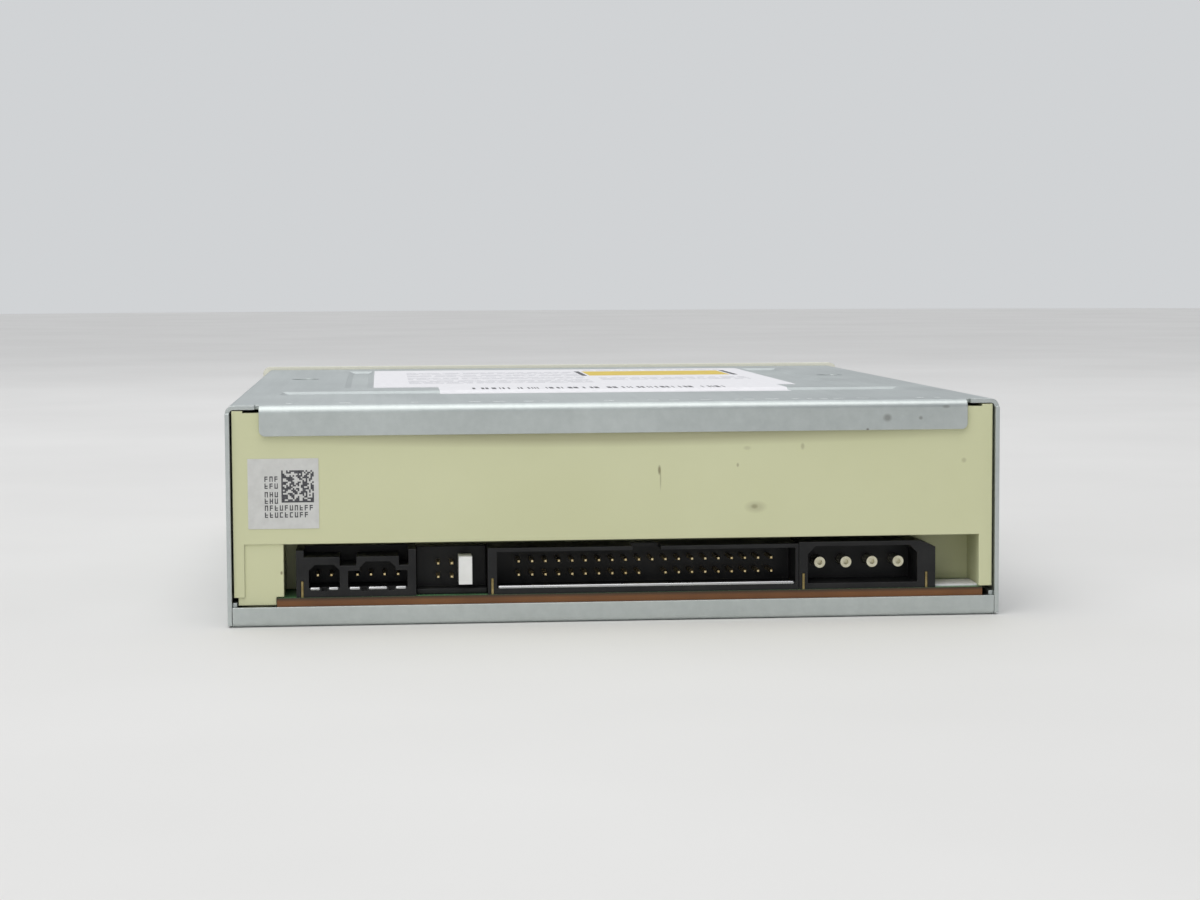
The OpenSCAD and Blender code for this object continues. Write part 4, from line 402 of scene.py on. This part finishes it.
# Front bezel, tray door and eject button: ivory plastic with a fine spark texture.
# All three are moulded in the same plastic, and the bezel snaps onto the frame.
ivory_low, ivory_high, ivory_dirt = (0.80, 0.785, 0.66), (0.84, 0.825, 0.70), (0.86, 0.83, 0.74)
bezel_ivory = aged_cream("ivory_bezel_plastic", ivory_low, ivory_high, ivory_dirt)
dress(bezel_ivory, "front_bezel", "tray_door", "eject_button")

# Marks on the bezel: thin grey pad print over the headphone socket, the volume wheel and the eject button.
# They are plain signs: a headband with two pads, a rising wedge, and a triangle over a bar.
pad_low, pad_high = (0.16, 0.16, 0.17), (0.22, 0.22, 0.23)
pad_grey = painted("pad_print_grey", pad_low, pad_high, scale=1800, rough=0.5)[0]
bezel_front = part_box("front_bezel")[0].y / MM
sign_t = 0.02


def at_mm(x, y, z):
    return Vector((x, y, z)) * MM


def add_sign(bm, outline):
    """A flat shape in x and z, printed on the front face."""
    front = [bm.verts.new(at_mm(x, bezel_front - sign_t, z)) for x, z in outline]
    back = [bm.verts.new(at_mm(x, bezel_front, z)) for x, z in outline]
    bm.faces.new(front)
    bm.faces.new(back)
    for k in range(len(outline)):
        bm.faces.new((front[k], front[(k + 1) % len(outline)], back[(k + 1) % len(outline)], back[k]))


eject_x = (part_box("eject_button")[0].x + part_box("eject_button")[1].x) / 2 / MM
jack_x = (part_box("headphone_jack")[0].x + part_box("headphone_jack")[1].x) / 2 / MM
wheel_x = (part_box("volume_wheel")[0].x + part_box("volume_wheel")[1].x) / 2 / MM
sign_z = 12.3
bar_top, triangle_z0, triangle_z1, eject_half = 12.8, 13.3, 15.1, 1.3
wedge_top, wedge_half = 13.9, 5.2
band_z, band_outer_r, band_inner_r = 14.2, 1.5, 1.2
pad_out, pad_half, pad_z0, pad_z1 = 1.35, 0.38, 13.0, 14.25
eject_x0, eject_x1 = eject_x - eject_half, eject_x + eject_half
wedge_x0, wedge_x1 = wheel_x - wedge_half, wheel_x + wedge_half
bm = bmesh.new()
add_sign(bm, [(eject_x0, triangle_z0), (eject_x1, triangle_z0), (eject_x, triangle_z1)])
add_sign(bm, [(eject_x0, sign_z), (eject_x1, sign_z), (eject_x1, bar_top), (eject_x0, bar_top)])
add_sign(bm, [(wedge_x0, sign_z), (wedge_x1, sign_z), (wedge_x1, wedge_top)])
turns = [math.radians(a) for a in range(0, 181, 15)]
outer = [(jack_x + band_outer_r * math.cos(t), band_z + band_outer_r * math.sin(t)) for t in turns]
inner = [(jack_x + band_inner_r * math.cos(t), band_z + band_inner_r * math.sin(t)) for t in reversed(turns)]
add_sign(bm, outer + inner)
for side in (-1, 1):
    pad_x = jack_x + side * pad_out
    pad_x0, pad_x1 = pad_x - pad_half, pad_x + pad_half
    add_sign(bm, [(pad_x0, pad_z0), (pad_x1, pad_z0), (pad_x1, pad_z1), (pad_x0, pad_z1)])
mesh_piece("bezel_signs", bm, pad_grey, "frame")


# Printed labels: white paper stuck to the roof, and a greyer tag on the frame's rear wall.
# The rows of print on the large one are only short grey dashes, with no words in them.
def paper(name, low, high):
    mat, tree, shade = shader(name)
    place = object_place(tree)
    fibre = grain(tree, place, scale=700, detail=4)
    wire(tree, between(tree, fibre, low, high), shade.inputs["Base Color"])
    shade.inputs["Roughness"].default_value = 0.6
    wrinkles = grain(tree, place, scale=90, detail=3)
    relief(tree, shade, wrinkles, depth=0.00006, strength=0.3)
    return mat


label_paper = paper("label_paper", (0.80, 0.79, 0.81), (0.87, 0.86, 0.875))
dress(label_paper, "top_label")
tag_paper = paper("silver_tag_paper", (0.60, 0.60, 0.575), (0.67, 0.67, 0.645))
dress(tag_paper, "rear_label")
roof_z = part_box("top_label")[1].z / MM
rear_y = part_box("top_cover")[1].y / MM
grey_low, grey_high = (0.40, 0.40, 0.43), (0.62, 0.62, 0.64)
ink_grey = painted("grey_print", grey_low, grey_high, scale=2600, rough=0.55)[0]
ink_low, ink_high = (0.03, 0.03, 0.035), (0.10, 0.10, 0.11)
ink_black = painted("black_print", ink_low, ink_high, scale=2600, rough=0.5)[0]
yellow_low, yellow_high = (0.72, 0.50, 0.03), (0.80, 0.60, 0.06)
yellow_print = painted("yellow_print", yellow_low, yellow_high, scale=240, rough=0.45)[0]
print_t = 0.012
draw = random.Random(7)


def print_rows(bm, x0, x1, ys, height, z):
    """Rows of short dashes in place of words, from x1 down to x0."""
    for y in ys:
        x = x1
        while x > x0:
            w = draw.uniform(1.2, 6.0)
            end = max(x - w, x0)
            add_slab(bm, (end, y - height / 2, z), (x, y + height / 2, z + print_t))
            x = end - draw.uniform(0.5, 1.1)


row_h = 1.1
wide_x0, wide_x1, narrow_x0, narrow_x1 = -3, 38, -40, -6
wide_rows = (84, 87.5, 91, 94.5, 98, 105, 108.5, 112, 119, 122.5, 126, 133, 136.5, 140)
narrow_rows = (96, 99.5, 103, 106.5, 148, 151.5)
bm = bmesh.new()
print_rows(bm, wide_x0, wide_x1, [rear_y - back for back in wide_rows], row_h, roof_z)
print_rows(bm, narrow_x0, narrow_x1, [rear_y - back for back in narrow_rows], row_h, roof_z)
mesh_piece("label_text_rows", bm, ink_grey, "frame")

# Yellow panel of the roof label, with a dark bar at each end, and a row of bars nearer to the sockets.
# Both are printed; the widths of the bars are drawn at random.
panel_x0, panel_x1, panel_front, panel_back = -38.5, -5, rear_y - 143, rear_y - 119
end_bars, end_bar_past = ((-40.3, -39.1), (-4.4, -3.2)), 1
bm = bmesh.new()
add_slab(bm, (panel_x0, panel_front, roof_z), (panel_x1, panel_back, roof_z + print_t))
mesh_piece("label_yellow_patch", bm, yellow_print, "frame")
bm = bmesh.new()
for x0, x1 in end_bars:
    end_bar_hi = (x1, panel_back + end_bar_past, roof_z + print_t)
    add_slab(bm, (x0, panel_front - end_bar_past, roof_z), end_bar_hi)
mesh_piece("label_patch_ends", bm, ink_black, "frame")
bars_x1, bars_x0, bars_front, bars_back = 25.0, -29, rear_y - 62, rear_y - 55.5
missing_share = 0.06
bm = bmesh.new()
x = bars_x1
while x > bars_x0:
    w = draw.choice((0.28, 0.28, 0.42, 0.6, 0.9))
    if draw.random() > missing_share:
        add_slab(bm, (x - w, bars_front, roof_z), (x, bars_back, roof_z + print_t))
    x -= w + draw.choice((0.3, 0.4, 0.7, 1.1))
mesh_piece("label_bars", bm, ink_black, "frame")

# Rear label's print: a dot block with four short rows beside it and two longer rows under it.
# The dots are drawn at random, so they read as a code but say nothing.
lo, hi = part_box("rear_label")
tag_y = hi.y / MM
tag_x1, tag_z1 = hi.x / MM, hi.z / MM
cells, dot = 20, 0.3
block_in, block_down = 6.2, 2.2
block_x, block_z = tag_x1 - block_in, tag_z1 - block_down
dark_share = 0.5


def tag_mark(bm, x0, x1, z0, z1):
    add_slab(bm, (x0, tag_y, z0), (x1, tag_y + print_t, z1))


bm = bmesh.new()
for i in range(cells):
    run = 0
    for j in range(cells + 1):
        edge_mark = i == cells - 1 or j == 0
        dark = j < cells and (edge_mark or draw.random() < dark_share)
        if dark:
            run += 1
        elif run:
            x0, z0 = block_x - j * dot, block_z - (i + 1) * dot
            tag_mark(bm, x0, x0 + run * dot, z0, z0 + dot)
            run = 0
mesh_piece("tag_dot_block", bm, ink_black, "frame")


def glyphs(bm, x, z, count, h=1.0, w=0.72):
    """Small strokes that look like print from a distance: each is a stem with two more strokes."""
    stem_share, bar_share, step_share = 0.26, 0.2, 0.4
    far_stem, far_out, far_in, bar_out, bar_in, gap = 3, 0.84, 0.6, 0.8, 0.2, 0.2
    for _ in range(count):
        tag_mark(bm, x - w * stem_share, x, z, z + h)
        for part in draw.sample(range(4), 2):
            if part == far_stem:
                tag_mark(bm, x - w * far_out, x - w * far_in, z, z + h)
            else:
                bar_z = z + part * h * step_share
                tag_mark(bm, x - w * bar_out, x - w * bar_in, bar_z, bar_z + h * bar_share)
        x -= w + gap


print_x = tag_x1 - 3.1
tag_rows = ((4.3, 3), (5.6, 3), (7.2, 3), (8.4, 3), (9.7, 10), (11.0, 9))
bm = bmesh.new()
for down, strokes in tag_rows:
    glyphs(bm, print_x, tag_z1 - down, strokes)
mesh_piece("tag_print", bm, ink_black, "frame")

# Slip beside the power socket: a small pale strip that lies on the corner of the board.
# Only its bright edge shows in the picture, so that it is card cut from sheet is a guess.
ledge_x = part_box("power_connector")[0].x / MM
board_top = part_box("main_board")[1].z / MM
wall_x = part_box("main_board")[0].x / MM
slip_x0, slip_x1 = wall_x + 0.3, ledge_x - 0.2
slip_front, slip_back = wall_y - 9.5, wall_y - 1.4
slip_t, slip_edge = 0.35, 0.08
bm = bmesh.new()
add_slab(bm, (slip_x0, slip_front, board_top), (slip_x1, slip_back, board_top + slip_t), slip_edge)
mesh_piece("corner_slip", bm, label_paper, "frame")

# Screws: bright zinc-plated steel, with pressed heads and rolled threads.
# Only the heads show once they are driven home.
bright_low, bright_high = (0.62, 0.63, 0.64), (0.72, 0.73, 0.74)
bright = galvanised("bright_plated_steel", bright_low, bright_high, alike)
dress(bright, "cover_screws", "board_screws", "bridge_screws", "damper_screws")

# Spindle base, actuator cover, clamper plate and guide rods: the same bright steel.
# The first three are stamped from sheet, and the rods are ground bar that lies in plastic holders.
dress(bright, "spindle_base", "actuator_cover", "clamper_plate", "main_rod", "sub_rod")

# Power pins: four round brass pins with a tin coat.
# They are pressed into the back of their socket.
tin_low, tin_high = (0.62, 0.58, 0.42), (0.80, 0.77, 0.60)
tinned, tree, shade = painted("tinned_brass", tin_low, tin_high, scale=800, rough=0.28)
shade.inputs["Metallic"].default_value = 0.9
dress(tinned, "power_pins")

# Circuit board: brown laminate, green lacquer on both faces, and the bare cut edge showing at the back.
# Tinned pads and thin tracks run over it under the lacquer.
board_mat, tree, shade = shader("lacquered_laminate")
place = object_place(tree)
tracks = tree.nodes.new("ShaderNodeTexBrick")
tracks.inputs["Scale"].default_value = 260
tracks.inputs["Mortar Size"].default_value = 0.035
tracks.inputs["Color1"].default_value = (0.045, 0.16, 0.075, 1)
tracks.inputs["Color2"].default_value = (0.055, 0.19, 0.09, 1)
tracks.inputs["Mortar"].default_value = (0.16, 0.30, 0.12, 1)
wire(tree, place, tracks.inputs["Vector"])
normal = tree.nodes.new("ShaderNodeNewGeometry")
parts = tree.nodes.new("ShaderNodeSeparateXYZ")
wire(tree, normal.outputs["Normal"], parts.inputs["Vector"])
up_down = tree.nodes.new("ShaderNodeMath")
up_down.operation = "ABSOLUTE"
wire(tree, parts.outputs["Z"], up_down.inputs[0])
board_lo, board_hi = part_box("main_board")
through = tree.nodes.new("ShaderNodeMapRange")
through.inputs["From Min"].default_value = board_lo.z
through.inputs["From Max"].default_value = board_hi.z
height_parts = tree.nodes.new("ShaderNodeSeparateXYZ")
wire(tree, place, height_parts.inputs["Vector"])
wire(tree, height_parts.outputs["Z"], through.inputs["Value"])
resin = grain(tree, place, scale=60, detail=3)
warm = between(tree, resin, low=(0.14, 0.05, 0.011), high=(0.21, 0.082, 0.02))
layered = tree.nodes.new("ShaderNodeMix")
layered.data_type = "RGBA"
upper_ply = between(tree, through.outputs["Result"], grey(0), grey(1), start=0.55, end=0.9)
wire(tree, upper_ply, layered.inputs[0])
wire(tree, warm, layered.inputs[6])
layered.inputs[7].default_value = (0.05, 0.028, 0.012, 1)
faces = tree.nodes.new("ShaderNodeMix")
faces.data_type = "RGBA"
wire(tree, up_down.outputs["Value"], faces.inputs[0])
wire(tree, layered.outputs[2], faces.inputs[6])
wire(tree, tracks.outputs["Color"], faces.inputs[7])
wire(tree, faces.outputs[2], shade.inputs["Base Color"])
shade.inputs["Roughness"].default_value = 0.38
relief(tree, shade, tracks.outputs["Fac"], depth=0.00003, strength=0.4)
dress(board_mat, "main_board", "front_board")

# Chips and capacitors: black epoxy cases, and blue sleeves on aluminium cans.
# They are soldered to the upper face of the board.
epoxy_low, epoxy_high = (0.018, 0.018, 0.020), (0.035, 0.035, 0.038)
chip_black = moulded("epoxy_case", epoxy_low, epoxy_high, rough=(0.45, 0.6), skin=1500, depth=0.00001)
dress(chip_black, "board_chips")
sleeve_low, sleeve_high = (0.05, 0.07, 0.16), (0.08, 0.11, 0.22)
sleeve = moulded("blue_sleeve", sleeve_low, sleeve_high, rough=(0.25, 0.35), skin=500, depth=0.000008)
dress(sleeve, "board_capacitors")

# Connector housings: glass-filled black plastic, moulded with sharp walls.
# They stand side by side on the rear edge of the board.
black_low, black_high = (0.007, 0.007, 0.0075), (0.018, 0.018, 0.018)
housing_black = moulded("housing_plastic", black_low, black_high, rough=(0.34, 0.50), skin=1400,
                        depth=0.000015, cloud_scale=160)
housing_black.node_tree.nodes["Principled BSDF"].inputs["Specular IOR Level"].default_value = 0.28
dress(housing_black, "audio_connector", "data_connector", "power_connector", "jumper_header")

# Headphone jack, volume control and eject switch: moulded in the same black plastic.
# They are soldered to the small board behind the bezel.
dress(housing_black, "headphone_jack", "volume_control", "eject_switch")

# Board locks: four bent strips of dull brass that stand between the sockets.
# They hold the sockets down on the board.
brass_low, brass_high = (0.22, 0.17, 0.07), (0.42, 0.33, 0.15)
brass, tree, shade = painted("dull_brass", brass_low, brass_high, scale=700, rough=0.42)
shade.inputs["Metallic"].default_value = 0.9
dress(brass, "board_locks")

# Signal pins: square brass wire, gold flashed, cut to length with a blunt point on each.
# One pin of the data field is left out as a key, in the lower row.
gold_low, gold_high = (0.66, 0.50, 0.24), (0.83, 0.70, 0.42)
gold, tree, shade = painted("gold_flash", gold_low, gold_high, scale=900, rough=0.3)
shade.inputs["Metallic"].default_value = 1.0
worn_spots = grain(tree, object_place(tree), scale=500, detail=3)
wire(tree, between(tree, worn_spots, grey(0.22), grey(0.38)), shade.inputs["Roughness"])
pin_w = 0.64
pin_pitch = 2.54
point_l_share, point_w_share = 0.8, 0.28


def add_pin(bm, x, z, y0, y1, width):
    half, tip = width / 2, width * point_w_share
    rings = ((y0, half), (y1 - width * point_l_share, half), (y1, tip))
    corners = ((-1, -1), (1, -1), (1, 1), (-1, 1))
    loops = [[bm.verts.new(at_mm(x + sx * r, y, z + sz * r)) for sx, sz in corners] for y, r in rings]
    for a, b in zip(loops, loops[1:]):
        for k in range(4):
            bm.faces.new((a[k], a[(k + 1) % 4], b[(k + 1) % 4], b[k]))
    bm.faces.new(loops[0])
    bm.faces.new(loops[-1])


def pin_field(name, node, xs, zs, skip=()):
    lo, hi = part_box(node)
    bm = bmesh.new()
    for i, x in enumerate(xs):
        for r, z in enumerate(zs):
            if (i, r) not in skip:
                add_pin(bm, x, z, lo.y / MM, hi.y / MM, pin_w)
    piece = mesh_piece(name, bm, gold, "frame")
    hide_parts(node)


lo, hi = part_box("data_pins")
data_x1, data_z0 = hi.x / MM - pin_w / 2, lo.z / MM + pin_w / 2
data_columns, key_column = 20, 10
data_xs = [data_x1 - i * pin_pitch for i in range(data_columns)]
pin_field("data_pin_field", "data_pins", data_xs, [data_z0, data_z0 + pin_pitch], {(key_column, 0)})
lo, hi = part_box("audio_pins")
audio_z = (lo.z + hi.z) / 2 / MM
audio_x1, audio_x0 = hi.x / MM - pin_w / 2, lo.x / MM + pin_w / 2
narrow_socket_pins, wide_socket_pins = 2, 4
audio_xs = [audio_x1 - i * pin_pitch for i in range(narrow_socket_pins)]
audio_xs += [audio_x0 + i * pin_pitch for i in range(wide_socket_pins)]
pin_field("audio_pin_field", "audio_pins", audio_xs, [audio_z])

# Jumper cap: a white moulded sleeve pushed over one column of pins.
# It has greyed a little with dust.
cap_low, cap_high = (0.78, 0.78, 0.75), (0.88, 0.88, 0.85)
cap_white = moulded("white_cap_plastic", cap_low, cap_high, rough=(0.4, 0.55), skin=700, depth=0.00003,
                    cloud_scale=260)
dress(cap_white, "jumper_cap")

# Jumper block: a black wall that fills the row between its neighbours, with six gold pins through it.
# A low foot runs out in front of the wall, under the cap.
block_lo, block_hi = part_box("jumper_header")
shell_lo, shell_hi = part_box("data_connector")
cap_lo, cap_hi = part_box("jumper_cap")
wall_t, foot_t, foot_in, foot_lap, block_edge = 4.2, 1.1, 1.6, 0.3, 0.2
jumper_columns, jumper_rows = 3, 2
wall_y0 = shell_lo.y / MM
block_x0, block_x1 = block_lo.x / MM, block_hi.x / MM
block_z0, block_z1 = block_lo.z / MM, block_hi.z / MM
bm = bmesh.new()
add_slab(bm, (block_x0, wall_y0, block_z0), (block_x1, wall_y0 + wall_t, block_z1), block_edge)
foot_y0, foot_y1 = wall_y0 + wall_t - foot_lap, shell_hi.y / MM - foot_in
add_slab(bm, (block_x0, foot_y0, block_z0), (block_x1, foot_y1, block_z0 + foot_t), block_edge)
wall_piece = mesh_piece("jumper_wall", bm, housing_black, "frame")
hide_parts("jumper_header")
bm = bmesh.new()
cap_x = (cap_lo.x + cap_hi.x) / 2 / MM
for i in range(jumper_columns):
    for r in range(jumper_rows):
        x, z = cap_x + i * pin_pitch, data_z0 + r * pin_pitch
        add_pin(bm, x, z, block_lo.y / MM, block_hi.y / MM, pin_w)
pins = mesh_piece("jumper_gold_pins", bm, gold, "frame")
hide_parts("jumper_header")

# Bead along the lower edge of the data and audio openings: a glossy black lip, rounded all round.
# The one under the audio openings shows as five short lengths in the picture, and is made so here.
gloss_low, gloss_high = (0.02, 0.02, 0.022), (0.05, 0.05, 0.052)
gloss_black, tree, shade = painted("glossy_black_edge", gloss_low, gloss_high, scale=600, rough=0.3)
smears = grain(tree, object_place(tree), scale=300, detail=3)
wire(tree, between(tree, smears, grey(0.24), grey(0.34)), shade.inputs["Roughness"])
shade.inputs["IOR"].default_value = 3.2
shade.inputs["Specular IOR Level"].default_value = 1.0


def add_bead(bm, x0, x1, y, z, deep, high):
    """A bar of oval section with rounded ends, from x0 to x1."""
    around, ends = 20, 5
    turns = [k / ends * math.pi / 2 for k in range(1, ends + 1)]
    stations = [(x0 + deep * (1 - math.cos(t)), math.sin(t)) for t in turns]
    stations += [(x1 - (x - x0), grow) for x, grow in reversed(stations)]
    rings = []
    for x, grow in stations:
        ring = []
        for k in range(around):
            turn = 2 * math.pi * k / around
            y_off, z_off = deep * grow * math.cos(turn), high * grow * math.sin(turn)
            ring.append(bm.verts.new(at_mm(x, y + y_off, z + z_off)))
        rings.append(ring)
    for a, b in zip(rings, rings[1:]):
        for k in range(around):
            bm.faces.new((a[k], a[(k + 1) % around], b[(k + 1) % around], b[k]))
    bm.faces.new(rings[0])
    bm.faces.new(rings[-1])


bead_deep, bead_high, bead_in = 0.42, 0.36, 0.36
bead_y = shell_hi.y / MM - bead_in
data_bead_past, data_bead_z, audio_bead_z = 4.1, 6.62, 6.86
data_bead_x0, data_bead_x1 = data_xs[-1] - data_bead_past, data_x1 + data_bead_past
audio_bead_ends = ((55.75, 57.9), (52.35, 54.45), (48.3, 50.6), (43.25, 47.05), (39.7, 42.0))
bm = bmesh.new()
add_bead(bm, data_bead_x0, data_bead_x1, bead_y, data_bead_z, bead_deep, bead_high)
mesh_piece("data_bead", bm, gloss_black, "frame", smooth=True)
bm = bmesh.new()
for x0, x1 in audio_bead_ends:
    add_bead(bm, x0, x1, bead_y, audio_bead_z, bead_deep, bead_high)
mesh_piece("audio_bead", bm, gloss_black, "frame", smooth=True)

# Clamper, gears, motor pulley, cam slider and follower: natural white acetal with a waxy skin.
# The gears run on posts of the frame, and the clamper floats in its bridge.
acetal_low, acetal_high = (0.74, 0.74, 0.69), (0.84, 0.84, 0.79)
acetal = moulded("natural_acetal", acetal_low, acetal_high, rough=(0.28, 0.4), skin=400, depth=0.000006)
dress(acetal, "clamper", "clamper_cap", "motor_pulley", "pulley_gear", "tray_gear")
dress(acetal, "cam_slider", "follower")

# Rubber belt, dampers and turntable ring: black rubber with a dry bloom.
# The belt is a moulded square loop, and the ring is glued into the turntable.
rubber_low, rubber_high = (0.02, 0.02, 0.02), (0.05, 0.05, 0.05)
rubber = moulded("black_rubber", rubber_low, rubber_high, rough=(0.7, 0.85), skin=1200, depth=0.00002,
                 sheen=0.2)
dress(rubber, "drive_belt", "dampers", "turntable_ring")

# Disc tray, lift frame, turntable, rod holders, lens holder and volume wheel: dark grey plastic.
# The tray and the lift frame are single mouldings that slide and swing in the cream frame.
tray_low, tray_high = (0.030, 0.030, 0.033), (0.050, 0.050, 0.054)
tray_grey = moulded("dark_grey_plastic", tray_low, tray_high, rough=(0.45, 0.6), skin=1300, depth=0.00003)
dress(tray_grey, "disc_tray", "lift_frame", "turntable", "rod_holders", "lens_holder", "volume_wheel")

# Motors: drawn steel cans with a bright satin skin.
# The loading motor hangs under the deck, and the sled motor lies in its bracket.
can_low, can_high, round_can = (0.52, 0.53, 0.54), (0.63, 0.64, 0.65), (1, 1, 0.05)
can_steel = galvanised("drawn_steel", can_low, can_high, round_can)
dress(can_steel, "loading_motor", "sled_motor")

# Lead screw: a bright rod with a rolled thread of 3 mm lead, turned down to a pin at each end.
# Its far pin runs in the bracket and its near end is the sled motor's own shaft.
hinge_y, hinge_z, lift_tilt = 66, 13, 4.8
hinge = Matrix.Translation((0, hinge_y * MM, hinge_z * MM))
swing = hinge @ Matrix.Rotation(math.radians(lift_tilt), 4, "X") @ hinge.inverted()
screw_x, screw_z, screw_y0, screw_len = 31, 19.4, -12.0, 71.8
core_r, crest_r, pin_r, lead = 1.12, 1.5, 1.0, 3.0
pin_out, pin_in = 0.9, 1.1
root_half_share, flank_share = 0.14, 0.12
around, per_lead = 32, 12
stations = [(screw_y0 - pin_out, pin_r), (screw_y0 + pin_in, pin_r)]
thread_y0, thread_y1 = screw_y0 + pin_in, screw_y0 + screw_len - pin_in
count = int((thread_y1 - thread_y0) / lead * per_lead)
stations += [(thread_y0 + k * (thread_y1 - thread_y0) / count, None) for k in range(count + 1)]
stations += [(thread_y1, pin_r), (screw_y0 + screw_len, pin_r)]
bm = bmesh.new()
rings = []
for y, r in stations:
    ring = []
    for k in range(around):
        angle = 2 * math.pi * k / around
        if r is None:
            phase = ((y - thread_y0) / lead + k / around) % 1
            ramp = min(max((abs(phase - 0.5) - root_half_share) / flank_share, 0), 1)
            radius = core_r + (crest_r - core_r) * ramp
        else:
            radius = r
        x, z = screw_x + radius * math.cos(angle), screw_z + radius * math.sin(angle)
        ring.append(bm.verts.new(at_mm(x, y, z)))
    rings.append(ring)
for a, b in zip(rings, rings[1:]):
    for k in range(around):
        bm.faces.new((a[k], a[(k + 1) % around], b[(k + 1) % around], b[k]))
bm.faces.new(rings[0])
bm.faces.new(rings[-1])
bmesh.ops.transform(bm, matrix=swing, verts=bm.verts)
threaded = mesh_piece("lead_screw_thread", bm, bright, "lead_screw", smooth=True)
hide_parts("lead_screw")

# Pickup: a die-cast metal body with a grained skin, which slides on the two guide rods.
# Its lens is glass with a blue coating, set in a dark plastic holder.
cast_low, cast_high = (0.36, 0.37, 0.39), (0.46, 0.47, 0.49)
casting = galvanised("die_cast_metal", cast_low, cast_high, alike)
dress(casting, "pickup_body")
coat_low, coat_high = (0.30, 0.42, 0.75), (0.45, 0.58, 0.85)
coated, tree, shade = painted("coated_glass", coat_low, coat_high, scale=300, rough=0.06)
shade.inputs["Transmission Weight"].default_value = 0.6
dress(coated, "lens")

# Status light: clear plastic with a green tint, behind a hole in the bezel.
# It is moulded round the lamp itself.
green_low, green_high = (0.42, 0.52, 0.30), (0.55, 0.64, 0.40)
clear_green, tree, shade = painted("green_tinted_lens", green_low, green_high, scale=500, rough=0.15)
shade.inputs["Transmission Weight"].default_value = 0.3
dress(clear_green, "status_light")
